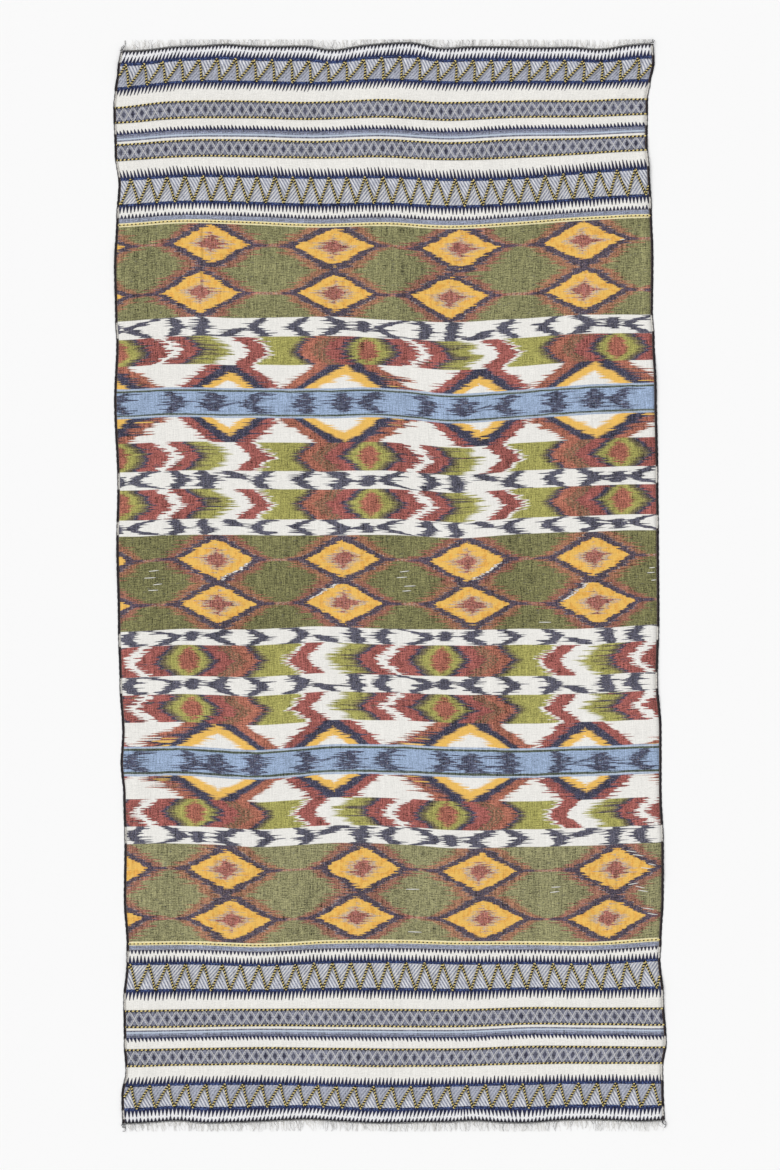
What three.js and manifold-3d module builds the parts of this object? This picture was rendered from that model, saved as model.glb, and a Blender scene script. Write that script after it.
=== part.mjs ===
// A woven cotton ikat scarf, laid out flat on a surface with its right side up.
// Millimetres. +X runs across the cloth, +Y along its length, +Z up. The origin lies on the
// surface that the scarf rests on, under the middle of its bounding box.
//
// The scarf is one loom length. Its pieces are the cloth, the two dense dark selvedges at its
// long edges, and at each end a row of cut warp ends held by a narrow line of dark weft.

import * as THREE from 'three';
import { mergeVertices } from 'three/addons/utils/BufferGeometryUtils.js';
import Module from 'manifold-3d';

// Driving dimensions.
const LENGTH = 2020; // over both fringes
const TOP_END = 993.5; // where the woven cloth stops, measured along Y
const BOTTOM_END = -989.5;
const CLOTH_THICK = 1.2;
const SELVEDGE_WIDE = 5;
const SELVEDGE_THICK = 1.7;
const HEM_WIDE = 2.4; // the dark line that holds the roots of the fringe
const HEM_THICK = 1.8;
const GAP = 0.3; // between pieces that touch in the real cloth
const FOLD_TOP = 3.4; // the highest that the underside is lifted
const STRANDS = 120; // in each fringe
const STRAND_WIDE = 1.3;
const STRAND_CLEAR = 0.15; // under the strands

// How finely the cloth is divided.
const ROW_STEP = 33;
const COLUMN_STEP = 37;

// Outer edges of the laid cloth, a row for each place where they swing in or out.
const EDGES = [
  { y: 994, left: -499.5, right: 488 },
  { y: 961, left: -505, right: 490 },
  { y: 928, left: -510, right: 483 },
  { y: 898, left: -512.5, right: 478 },
  { y: 806, left: -510, right: 477 },
  { y: 747, left: -503, right: 481 },
  { y: 684, left: -507, right: 485 },
  { y: 595, left: -511, right: 488 },
  { y: 495, left: -509, right: 487 },
  { y: 454, left: -507, right: 490 },
  { y: 343, left: -511, right: 494 },
  { y: 188, left: -505, right: 497 },
  { y: 84, left: -507, right: 498 },
  { y: -64, left: -504, right: 499 },
  { y: -182, left: -501, right: 496 },
  { y: -271, left: -496, right: 503 },
  { y: -330, left: -499, right: 503 },
  { y: -389, left: -494, right: 503 },
  { y: -482, left: -492, right: 507 },
  { y: -582, left: -493, right: 507 },
  { y: -663, left: -488, right: 503 },
  { y: -697, left: -488, right: 501 },
  { y: -763, left: -494, right: 507 },
  { y: -848, left: -493, right: 512.5 },
  { y: -896, left: -490, right: 506 },
  { y: -941, left: -497.5, right: 507 },
  { y: -991, left: -496, right: 509 },
];

// How far the weft lines bow towards +Y, at nine evenly spaced places from left to right.
const WEFT_BOWS = [
  { y: 995, rise: [-8, 2, 0, 0, 6, -1, -1, -4, 6] },
  { y: 931, rise: [-13, 0, 0, -2, 4, -1, 0, 0, 3] },
  { y: 844, rise: [-9, 0, 1, -2, 2, -4, 2, 3, 8] },
  { y: 756, rise: [-5, 2, 1, -1, 0, -5, -2, 8, 16] },
  { y: 666, rise: [-3, 5, 2, -3, 0, -6, 1, 10, 15] },
  { y: 495, rise: [-6, 3, 1, 4, -2, -6, 0, 7, 8] },
  { y: 360, rise: [-2, -3, -5, -1, 1, -10, -2, 7, 11] },
  { y: 95, rise: [-4, -2, -2, -1, 0, -6, 2, 6, 9] },
  { y: -80, rise: [-6, 0, -1, 5, 0, -1, 0, 1, 8] },
  { y: -305, rise: [0, 1, -6, 4, 5, -1, -2, 2, 6] },
  { y: -482, rise: [2, 3, -3, 4, 2, -5, -3, 0, 6] },
  { y: -660, rise: [-2, -1, -5, 1, 2, -1, -1, -2, 6] },
  { y: -833, rise: [-3, -1, 1, 0, -1, -1, 4, 3, 2] },
  { y: -922, rise: [-2, 1, 2, -1, -3, -1, 2, 4, 4] },
  { y: -991, rise: [-5, 0, 0, 3, -1, 1, -2, 2, 2] },
];

// Soft ridges where the cloth lifts off the surface: the long lines that it was folded on, and
// short swells at the hems and edges. turn is the angle of the ridge's length from +Y, in degrees.
const RIDGES = [
  { x: -337, y: 60, long: 1900, wide: 44, high: 1.5, turn: 0.6 },
  { x: 14, y: 420, long: 1150, wide: 40, high: 1.4, turn: -0.4 },
  { x: 8, y: -640, long: 700, wide: 42, high: 1.1, turn: 0.5 },
  { x: 376, y: -60, long: 1800, wide: 46, high: 1.6, turn: -0.8 },
  { x: -470, y: 925, long: 210, wide: 90, high: 3.2, turn: 38 },
  { x: -395, y: 968, long: 130, wide: 80, high: 2.0, turn: -12 },
  { x: -128, y: 958, long: 160, wide: 96, high: 1.8, turn: 9 },
  { x: 92, y: 965, long: 150, wide: 84, high: 2.3, turn: -14 },
  { x: 262, y: 952, long: 170, wide: 90, high: 1.6, turn: 11 },
  { x: 446, y: 955, long: 190, wide: 92, high: 3.0, turn: -33 },
  { x: 455, y: 715, long: 260, wide: 96, high: 3.4, turn: -22 },
  { x: 120, y: 660, long: 230, wide: 110, high: 1.7, turn: 16 },
  { x: -492, y: 560, long: 190, wide: 80, high: 2.2, turn: 8 },
  { x: 122, y: 372, long: 180, wide: 100, high: 2.4, turn: -8 },
  { x: -215, y: 350, long: 150, wide: 90, high: 1.5, turn: 20 },
  { x: 478, y: 320, long: 240, wide: 76, high: 2.6, turn: -6 },
  { x: 116, y: 110, long: 160, wide: 96, high: 1.6, turn: 12 },
  { x: -478, y: -20, long: 220, wide: 74, high: 2.0, turn: 10 },
  { x: -118, y: -90, long: 150, wide: 90, high: 1.5, turn: -15 },
  { x: 482, y: -150, long: 200, wide: 72, high: 2.3, turn: 7 },
  { x: -240, y: -318, long: 170, wide: 96, high: 1.9, turn: 14 },
  { x: -468, y: -372, long: 150, wide: 70, high: 2.4, turn: -9 },
  { x: 118, y: -470, long: 170, wide: 100, high: 1.7, turn: -10 },
  { x: 486, y: -470, long: 210, wide: 76, high: 2.4, turn: 8 },
  { x: -246, y: -668, long: 160, wide: 90, high: 1.8, turn: 6 },
  { x: -462, y: -742, long: 170, wide: 76, high: 2.7, turn: 17 },
  { x: 482, y: -806, long: 220, wide: 84, high: 3.0, turn: -12 },
  { x: -466, y: -938, long: 130, wide: 84, high: 2.9, turn: -28 },
  { x: -248, y: -952, long: 130, wide: 88, high: 1.5, turn: 8 },
  { x: -118, y: -958, long: 120, wide: 80, high: 2.0, turn: -10 },
  { x: 150, y: -950, long: 150, wide: 92, high: 1.7, turn: 12 },
  { x: 262, y: -962, long: 120, wide: 80, high: 2.1, turn: -8 },
  { x: 470, y: -948, long: 140, wide: 80, high: 2.6, turn: 24 },
];

const FINISHES = {
  cloth: { color: 0x8f8b70, roughness: 0.9 },
  selvedge: { color: 0x26252c, roughness: 0.95 },
  fringe: { color: 0xe4e1d8, roughness: 0.95 },
};

const wasm = await Module();
wasm.setup();

// Eases from 0 to 1, level at both ends.
const ease = (t) => t * t * (3 - 2 * t);

// The two rows of a table that y lies between, and how far it is from the first to the second.
function between(table, y) {
  const below = table.findIndex((row) => row.y <= y);
  const second = below === -1 ? table.length - 1 : Math.max(below, 1);
  const [from, to] = [table[second - 1], table[second]];
  const share = THREE.MathUtils.clamp((from.y - y) / (from.y - to.y), 0, 1);
  return { from, to, share: ease(share) };
}

// A smooth curve through evenly spaced values, at t from 0 to 1.
function smoothThrough(values, t) {
  const last = values.length - 1;
  const at = THREE.MathUtils.clamp(t, 0, 1) * last;
  const index = Math.min(Math.floor(at), last - 1);
  const f = at - index;
  const value = (k) => values[THREE.MathUtils.clamp(k, 0, last)];
  const [p0, p1, p2, p3] = [-1, 0, 1, 2].map((k) => value(index + k));
  const bend = 2 * p0 - 5 * p1 + 4 * p2 - p3 + f * (3 * (p1 - p2) + p3 - p0);
  return p1 + 0.5 * f * (p2 - p0 + f * bend);
}

function edgesAt(y) {
  const { from, to, share } = between(EDGES, y);
  const mix = (key) => THREE.MathUtils.lerp(from[key], to[key], share);
  return { left: mix('left'), right: mix('right') };
}

function bowAt(y, across) {
  const { from, to, share } = between(WEFT_BOWS, y);
  const rise = (row) => smoothThrough(row.rise, across);
  return THREE.MathUtils.lerp(rise(from), rise(to), share);
}

// A ridge's height at a point: rounded across, and running out to nothing at its ends.
function ridgeHeight(ridge, x, y) {
  const angle = THREE.MathUtils.degToRad(ridge.turn);
  const [dx, dy] = [x - ridge.x, y - ridge.y];
  const along = (dy * Math.cos(angle) - dx * Math.sin(angle)) / (ridge.long / 2);
  const across = (dx * Math.cos(angle) + dy * Math.sin(angle)) / (ridge.wide / 2);
  if (Math.abs(along) >= 1 || Math.abs(across) >= 1) return 0;
  const round = 0.5 + 0.5 * Math.cos(Math.PI * across);
  return ridge.high * round * ease(Math.min(1, 2.5 * (1 - Math.abs(along))));
}

// How far the underside is lifted off the surface at a point.
function lift(x, y) {
  const highest = RIDGES.reduce((most, ridge) => Math.max(most, ridgeHeight(ridge, x, y)), 0);
  return Math.min(highest, FOLD_TOP);
}

// The point of the laid cloth at a distance in from its left or right edge, or at a share of the
// width between them, with its height above the lifted underside.
function lay(y, share, inset, height) {
  const { left, right } = edgesAt(y);
  const x = THREE.MathUtils.lerp(left + inset, right - inset, share);
  const onY = y + bowAt(y, (x - left) / (right - left));
  return new THREE.Vector3(x, onY, lift(x, onY) + height);
}

// Rows along the cloth: every place in the edge table, with even steps between them.
function clothRows() {
  const stops = [TOP_END, ...EDGES.map((row) => row.y), BOTTOM_END]
    .filter((y) => y <= TOP_END && y >= BOTTOM_END)
    .sort((a, b) => b - a)
    .filter((y, k, all) => k === 0 || all[k - 1] - y > 1);
  return stops.flatMap((y, k) => {
    if (k === stops.length - 1) return [y];
    const steps = Math.max(1, Math.round((y - stops[k + 1]) / ROW_STEP));
    return Array.from({ length: steps }, (_, s) => THREE.MathUtils.lerp(y, stops[k + 1], s / steps));
  });
}

// A closed body through rings of points: sides between the rings and a fan over each end.
function loft(rings) {
  const size = rings[0].length;
  const positions = rings.flat().flatMap((p) => [p.x, p.y, p.z]);
  const index = [];
  for (let r = 0; r + 1 < rings.length; r += 1) {
    for (let k = 0; k < size; k += 1) {
      const [a, b] = [r * size + k, r * size + ((k + 1) % size)];
      index.push(a, b, b + size, a, b + size, a + size);
    }
  }
  const end = (rings.length - 1) * size;
  for (let k = 1; k + 1 < size; k += 1) {
    index.push(0, k + 1, k, end, end + k, end + k + 1);
  }
  return indexed(positions, index);
}

// A wall between two grids of points that share their outline, top and underside.
function wall(top, underside) {
  const [rows, columns] = [top.length, top[0].length];
  const positions = [...top.flat(), ...underside.flat()].flatMap((p) => [p.x, p.y, p.z]);
  const under = rows * columns;
  const index = [];
  const quad = (a, b, c, d) => index.push(a, b, c, a, c, d);
  for (let r = 0; r + 1 < rows; r += 1) {
    for (let c = 0; c + 1 < columns; c += 1) {
      const a = r * columns + c;
      quad(a, a + columns, a + columns + 1, a + 1);
      quad(under + a, under + a + 1, under + a + columns + 1, under + a + columns);
    }
    const [left, right] = [r * columns, (r + 1) * columns - 1];
    quad(left, under + left, under + left + columns, left + columns);
    quad(right, right + columns, under + right + columns, under + right);
  }
  for (let c = 0; c + 1 < columns; c += 1) {
    const last = (rows - 1) * columns + c;
    quad(c, c + 1, under + c + 1, under + c);
    quad(last, under + last, under + last + 1, last + 1);
  }
  return indexed(positions, index);
}

function indexed(positions, index) {
  const geometry = new THREE.BufferGeometry();
  geometry.setAttribute('position', new THREE.Float32BufferAttribute(positions, 3));
  geometry.setIndex(index);
  return geometry;
}

function piece(name, geometry, finish) {
  const flat = geometry.index ? geometry.toNonIndexed() : geometry;
  flat.computeVertexNormals();
  const mesh = new THREE.Mesh(flat, new THREE.MeshStandardMaterial({ ...FINISHES[finish], metalness: 0 }));
  mesh.name = name;
  return mesh;
}

// The woven panel between the selvedges and the two hem lines.
function cloth() {
  const inset = SELVEDGE_WIDE + GAP;
  const rows = clothRows();
  const columns = Math.round((LENGTH / 2 - 2 * inset) / COLUMN_STEP);
  const grid = (height) => rows.map((y) =>
    Array.from({ length: columns + 1 }, (_, c) => lay(y, c / columns, inset, height)));
  return piece('cloth', wall(grid(CLOTH_THICK), grid(0)), 'cloth');
}

// A selvedge: a flat cord of packed dark warp that runs down one long edge of the cloth.
function selvedge(name, share) {
  const outward = share === 0 ? -1 : 1;
  const section = [
    { in: 0.4, height: 0 },
    { in: SELVEDGE_WIDE, height: 0 },
    { in: SELVEDGE_WIDE, height: CLOTH_THICK },
    { in: 0.55 * SELVEDGE_WIDE, height: SELVEDGE_THICK },
    { in: 0, height: 0.5 * SELVEDGE_THICK },
  ];
  const ordered = outward < 0 ? section : [...section].reverse();
  const rings = clothRows().map((y) => ordered.map((at) => lay(y, share, at.in, at.height)));
  return piece(name, loft(rings), 'selvedge');
}

// A solid of the join library, from a geometry whose shared points are merged.
function solid(geometry) {
  const bare = new THREE.BufferGeometry();
  bare.setAttribute('position', geometry.attributes.position.clone());
  bare.setIndex(geometry.index);
  const merged = mergeVertices(bare, 1e-4);
  return new wasm.Manifold(new wasm.Mesh({
    numProp: 3,
    vertProperties: new Float32Array(merged.attributes.position.array),
    triVerts: new Uint32Array(merged.index.array),
  }));
}

// Repeatable scatter from 0 to 1 for the strand with this number.
const scatter = (number, salt) => {
  const wave = Math.sin(number * 12.9898 + salt * 78.233) * 43758.5453;
  return wave - Math.floor(wave);
};

// One three-sided strand: its root in the hem line, its tip at or short of the fringe's reach.
function strand(root, outward, number, reach) {
  const full = Math.abs(outward * reach - root.y);
  const isLongest = number % 17 === 5;
  const long = full * (isLongest ? 1 : 0.55 + 0.42 * scatter(number, 1));
  const lean = (scatter(number, 2) - 0.5) * 5.5;
  const curl = (scatter(number, 3) - 0.5) * 2.4;
  const raised = STRAND_CLEAR + 0.9 * scatter(number, 4);
  const rings = [0, 0.5, 1].map((t) => {
    const half = 0.5 * STRAND_WIDE * (1 - 0.45 * t);
    const x = root.x + lean * t + curl * Math.sin(Math.PI * t);
    const y = root.y + outward * long * t;
    const z = THREE.MathUtils.lerp(root.z, raised, ease(Math.min(1, 1.6 * t)));
    return [
      new THREE.Vector3(x - half, y, z),
      new THREE.Vector3(x + half, y, z),
      new THREE.Vector3(x, y, z + 1.5 * half),
    ];
  });
  return loft(outward > 0 ? rings.map((ring) => [...ring].reverse()) : rings);
}

// A fringe: the hem line just past the cloth's end, and the cut warp ends that it holds.
function fringe(name, clothEnd) {
  const outward = Math.sign(clothEnd);
  const near = clothEnd + outward * GAP;
  const columns = 2 * Math.round(LENGTH / 4 / COLUMN_STEP);
  const atHem = (share, off, height) => {
    const point = lay(clothEnd, share, 0, height);
    point.y += near - clothEnd + outward * off;
    return point;
  };
  const section = [
    { off: 0, height: 0 },
    { off: HEM_WIDE, height: 0 },
    { off: HEM_WIDE, height: 0.7 * HEM_THICK },
    { off: 0.5 * HEM_WIDE, height: HEM_THICK },
    { off: 0, height: CLOTH_THICK },
  ];
  const ordered = outward > 0 ? section : [...section].reverse();
  const rings = Array.from({ length: columns + 1 }, (_, c) =>
    ordered.map((at) => atHem(c / columns, at.off, at.height)));
  let whole = solid(loft(rings));
  for (let k = 0; k < STRANDS; k += 1) {
    const share = (k + 0.5 + 0.3 * (scatter(k, 5) - 0.5)) / STRANDS;
    const root = atHem(share, 0.55 * HEM_WIDE, 0.35);
    whole = whole.add(solid(strand(root, outward, k + (outward > 0 ? 0 : 500), LENGTH / 2)));
  }
  const { vertProperties, triVerts } = whole.getMesh();
  return piece(name, indexed(Array.from(vertProperties), Array.from(triVerts)), 'fringe');
}

const scarf = new THREE.Group();
scarf.name = 'ikat_scarf';
scarf.add(
  cloth(),
  selvedge('selvedge_left', 0),
  selvedge('selvedge_right', 1),
  fringe('fringe_top', TOP_END),
  fringe('fringe_bottom', BOTTOM_END),
);

export default scarf;
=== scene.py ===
import logging
import math
import random
from collections.abc import Callable, Sequence
from dataclasses import dataclass, field
from enum import Enum

import bpy
import numpy as np
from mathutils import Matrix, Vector


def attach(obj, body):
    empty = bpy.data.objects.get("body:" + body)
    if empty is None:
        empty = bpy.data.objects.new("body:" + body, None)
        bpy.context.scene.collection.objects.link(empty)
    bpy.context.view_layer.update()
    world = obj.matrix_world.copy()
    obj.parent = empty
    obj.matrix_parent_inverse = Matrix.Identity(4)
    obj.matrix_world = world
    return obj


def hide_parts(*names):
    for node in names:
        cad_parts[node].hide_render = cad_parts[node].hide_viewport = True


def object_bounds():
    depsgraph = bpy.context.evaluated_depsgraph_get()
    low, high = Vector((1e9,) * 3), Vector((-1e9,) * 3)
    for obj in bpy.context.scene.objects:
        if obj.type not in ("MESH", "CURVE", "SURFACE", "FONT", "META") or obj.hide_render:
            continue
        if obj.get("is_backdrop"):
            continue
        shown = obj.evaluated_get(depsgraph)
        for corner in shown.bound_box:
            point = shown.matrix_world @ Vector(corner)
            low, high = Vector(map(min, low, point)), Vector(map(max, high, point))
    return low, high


log = logging.getLogger("ikat_scarf")
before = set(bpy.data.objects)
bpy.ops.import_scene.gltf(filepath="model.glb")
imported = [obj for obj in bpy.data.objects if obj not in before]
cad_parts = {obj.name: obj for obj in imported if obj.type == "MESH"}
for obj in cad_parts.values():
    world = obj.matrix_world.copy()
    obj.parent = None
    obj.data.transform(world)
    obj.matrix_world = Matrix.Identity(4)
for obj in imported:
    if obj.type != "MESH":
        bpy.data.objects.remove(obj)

MM = 0.001  # metres in a millimetre: shapes and patterns are worked out in millimetres
PER_METRE = 1000.0
TOP_END = 993.5
BOTTOM_END = -989.5
HALF_LENGTH = 1010.0  # half of the model's length, over the fringes
SELVEDGE_WIDE = 5.0
GAP = 0.3  # between the panel and its selvedges
FOLD_TOP = 3.4  # the highest a swell may be
CLOTH_THICK = 0.55
MATT = 0.2  # how much cotton reflects at a glance

Row = tuple[float, ...]

# Outer edges of the laid cloth: place along the length, left edge, right edge.
EDGES: list[Row] = [
    (994, -499.5, 488), (961, -505, 490), (928, -510, 483), (898, -512.5, 478), (806, -510, 477),
    (747, -503, 481), (684, -507, 485), (595, -511, 488), (495, -509, 487), (454, -507, 490),
    (343, -511, 494), (188, -505, 497), (84, -507, 498), (-64, -504, 499), (-182, -501, 496),
    (-271, -496, 503), (-330, -499, 503), (-389, -494, 503), (-482, -492, 507), (-582, -493, 507),
    (-663, -488, 503), (-697, -488, 501), (-763, -494, 507), (-848, -493, 512.5), (-896, -490, 506),
    (-941, -497.5, 507), (-991, -496, 509),
]

# Flat width along the length: the near half was laid a little wider than it was woven.
FLAT_WIDE: list[Row] = [(994, 1001), (20, 1001), (-60, 991), (-620, 990), (-700, 986), (-991, 986)]

# How far the weft lines bow towards +Y at nine even places from left to right.
WEFT_BOWS: list[Row] = [
    (995, -8, 2, 0, 0, 6, -1, -1, -4, 6), (931, -13, 0, 0, -2, 4, -1, 0, 0, 3),
    (844, -9, 0, 1, -2, 2, -4, 2, 3, 8), (756, -5, 2, 1, -1, 0, -5, -2, 8, 16),
    (666, -3, 5, 2, -3, 0, -6, 1, 10, 15), (495, -6, 3, 1, 4, -2, -6, 0, 7, 8),
    (360, -2, 2, 0, 0, 1, -10, -2, 7, 11), (95, -4, 0, 0, -1, 0, -6, 2, 6, 9),
    (-80, -6, 0, -1, 5, 0, -1, 0, 1, 8), (-305, 0, 1, -6, 4, 5, -1, -2, 2, 6),
    (-482, 2, 3, -3, 4, 2, -5, -3, 0, 6), (-660, -2, -1, -5, 1, 2, -1, -1, -2, 6),
    (-833, -3, -1, 1, 0, -1, -1, 4, 3, 2), (-922, -2, 1, 2, -1, -3, -1, 2, 4, 4),
    (-991, -5, 0, 0, 3, -1, 1, -2, 2, 2),
]

# Small ripples of the two hems, at even places from left to right, dying out towards the middle.
TOP_RIPPLE: Row = (3, 1, 2, 2, 6, 4, 4, 4, -4, 0, 3, 6, 0, 4, 4, 3, 4, 6, 1, 3, 3)
BOTTOM_RIPPLE: Row = (-1, -1, 0, -5, -4, -2, -1, -1, -4, -5, -4, -3, -4, -1, -3, -2, 0, 0, -2, -4, -1)

# Ridges of the laid cloth: x, y, length, width, height, and turn from +Y in degrees.
RIDGES: list[Row] = [
    (-337, 60, 1900, 44, 1.5, 0.6), (14, 420, 1150, 40, 1.4, -0.4), (8, -640, 700, 42, 1.1, 0.5),
    (376, -60, 1800, 46, 1.6, -0.8), (-470, 925, 210, 90, 3.2, 38), (-395, 968, 130, 80, 2.0, -12),
    (-128, 958, 160, 96, 1.8, 9), (92, 965, 150, 84, 2.3, -14), (262, 952, 170, 90, 1.6, 11),
    (446, 955, 190, 92, 3.0, -33), (455, 715, 260, 96, 3.4, -22), (120, 660, 230, 110, 1.7, 16),
    (-492, 560, 190, 80, 2.2, 8), (122, 372, 180, 100, 2.4, -8), (-215, 350, 150, 90, 1.5, 20),
    (478, 320, 240, 76, 2.6, -6), (116, 110, 160, 96, 1.6, 12), (-478, -20, 220, 74, 2.0, 10),
    (-118, -90, 150, 90, 1.5, -15), (482, -150, 200, 72, 2.3, 7), (-240, -318, 170, 96, 1.9, 14),
    (-468, -372, 150, 70, 2.4, -9), (118, -470, 170, 100, 1.7, -10), (486, -470, 210, 76, 2.4, 8),
    (-246, -668, 160, 90, 1.8, 6), (-462, -742, 170, 76, 2.7, 17), (482, -806, 220, 84, 3.0, -12),
    (-466, -938, 130, 84, 2.9, -28), (-248, -952, 130, 88, 1.5, 8), (-118, -958, 120, 80, 2.0, -10),
    (150, -950, 150, 92, 1.7, 12), (262, -962, 120, 80, 2.1, -8), (470, -948, 140, 80, 2.6, 24),
]

# Finer creases, placed on top of the ridges: the same six values.
CREASES: list[Row] = [
    (-349, 560, 230, 13, 0.9, -1), (-339, 180, 420, 16, 0.7, 1), (-336, -330, 380, 15, 0.7, 0),
    (-341, -780, 300, 14, 0.8, 1), (4, 610, 260, 14, 1.1, 1), (18, 330, 300, 16, 0.8, -2),
    (9, -120, 330, 18, 0.5, 1), (12, -700, 420, 15, 0.9, 0), (384, 640, 320, 17, 0.8, -1),
    (372, 240, 360, 17, 0.8, 0), (378, -200, 400, 16, 0.7, -1), (371, -610, 380, 16, 0.8, 1),
    (-430, 900, 190, 26, 1.2, 57), (-455, 840, 150, 22, 0.9, 71), (-300, 930, 150, 22, 0.8, 12),
    (-215, 955, 110, 24, 0.9, -8), (-40, 950, 120, 26, 0.9, 6), (40, 948, 130, 22, 1.0, -10),
    (180, 945, 120, 22, 0.9, 8), (330, 940, 140, 26, 1.1, -14), (405, 900, 180, 26, 1.1, -52),
    (420, 800, 200, 30, 1.0, -66), (300, 735, 220, 34, 0.7, -78), (110, 775, 200, 30, 0.7, 82),
    (-150, 760, 240, 34, 0.6, 86), (-380, 770, 170, 30, 0.8, 78), (-450, 690, 160, 26, 0.9, 60),
    (230, 560, 200, 30, 0.7, 24), (-120, 590, 190, 30, 0.6, -18), (-260, 470, 170, 26, 0.6, 32),
    (455, 540, 170, 26, 1.0, -16), (430, 430, 150, 24, 0.9, 20), (-440, 430, 170, 26, 0.9, -12),
    (60, 480, 160, 28, 0.7, -26), (250, 300, 200, 30, 0.6, 14), (-90, 250, 200, 30, 0.6, -12),
    (-450, 250, 160, 26, 0.9, 14), (200, 60, 220, 32, 0.6, -16), (-230, 20, 220, 32, 0.6, 12),
    (440, 40, 170, 26, 0.9, -12), (-430, -170, 170, 26, 0.9, -14), (60, -260, 220, 32, 0.6, 20),
    (300, -300, 190, 30, 0.7, -14), (-120, -400, 210, 30, 0.6, 10), (450, -330, 160, 24, 0.9, 14),
    (-330, -560, 190, 28, 0.7, -10), (210, -590, 210, 32, 0.6, 12), (-60, -760, 220, 32, 0.6, -8),
    (330, -760, 200, 30, 0.7, 10), (-430, -640, 160, 26, 0.9, 22), (440, -690, 170, 26, 1.0, -18),
    (-390, -900, 150, 24, 1.0, -62), (-310, -950, 110, 24, 0.9, 10), (-180, -955, 100, 22, 0.8, -12),
    (-40, -950, 120, 22, 0.8, 8), (70, -955, 110, 22, 0.8, -8), (200, -955, 100, 22, 0.8, 10),
    (350, -950, 120, 24, 0.9, -10), (420, -905, 160, 26, 1.0, 58), (400, -848, 190, 28, 0.8, 80),
]

# Sharp pressed lines, too fine for the mesh: x, y, length, half width and depth, as laid. Their depth sinks
# the bump, and it also darkens the colour as painted shade.
PRESSED: list[Row] = [
    (-347, 604, 170, 4, 1.3), (-346, 420, 150, 5, 0.6), (1, 585, 120, 6, 0.8), (-320, -590, 220, 5, 0.7),
    (-250, -592, 210, 5, 0.7), (-474, -508, 60, 5, 0.6), (318, -590, 220, 7, 0.9), (370, -590, 180, 4, 0.9),
    (420, -588, 180, 4, 0.9), (-340, 60, 260, 5, 0.5), (14, -60, 240, 6, 0.5), (376, 330, 240, 5, 0.5),
    (-338, -300, 240, 5, 0.5), (8, -820, 200, 6, 0.6), (372, -840, 160, 5, 0.6),
]


def ease(t: np.ndarray | float) -> np.ndarray | float:
    """Runs from 0 to 1 and is level at both ends."""
    return t * t * (3 - 2 * t)


def through(values: np.ndarray, share: np.ndarray) -> np.ndarray:
    """Follows a smooth curve through evenly spaced values.

    Args:
        values: the values, evenly spaced along the last axis, with a row for each share.
        share: places from 0 to 1.

    Returns:
        The curve's value at each place.
    """
    last = values.shape[-1] - 1
    at = np.clip(share, 0, 1) * last
    index = np.minimum(np.floor(at).astype(int), last - 1)
    f = at - index
    rows = np.arange(len(share))
    p0, p1, p2, p3 = (values[rows, np.clip(index + k, 0, last)] for k in (-1, 0, 1, 2))
    return p1 + 0.5 * f * (p2 - p0 + f * (2 * p0 - 5 * p1 + 4 * p2 - p3 + f * (3 * (p1 - p2) + p3 - p0)))


def between(table: Sequence[Row], y: np.ndarray) -> np.ndarray:
    """Blends a table's rows smoothly along the length.

    Args:
        table: rows of a place and its values, from the greatest place down.
        y: places along the length.

    Returns:
        The blended values, a row for each place.
    """
    rows = np.array(table, dtype=float)
    second = np.clip(np.sum(rows[None, :, 0] > y[:, None], axis=1), 1, len(rows) - 1)
    a, b = rows[second - 1], rows[second]
    share = ease(np.clip((a[:, 0] - y) / (a[:, 0] - b[:, 0]), 0, 1))
    return a[:, 1:] + (b[:, 1:] - a[:, 1:]) * share[:, None]


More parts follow.
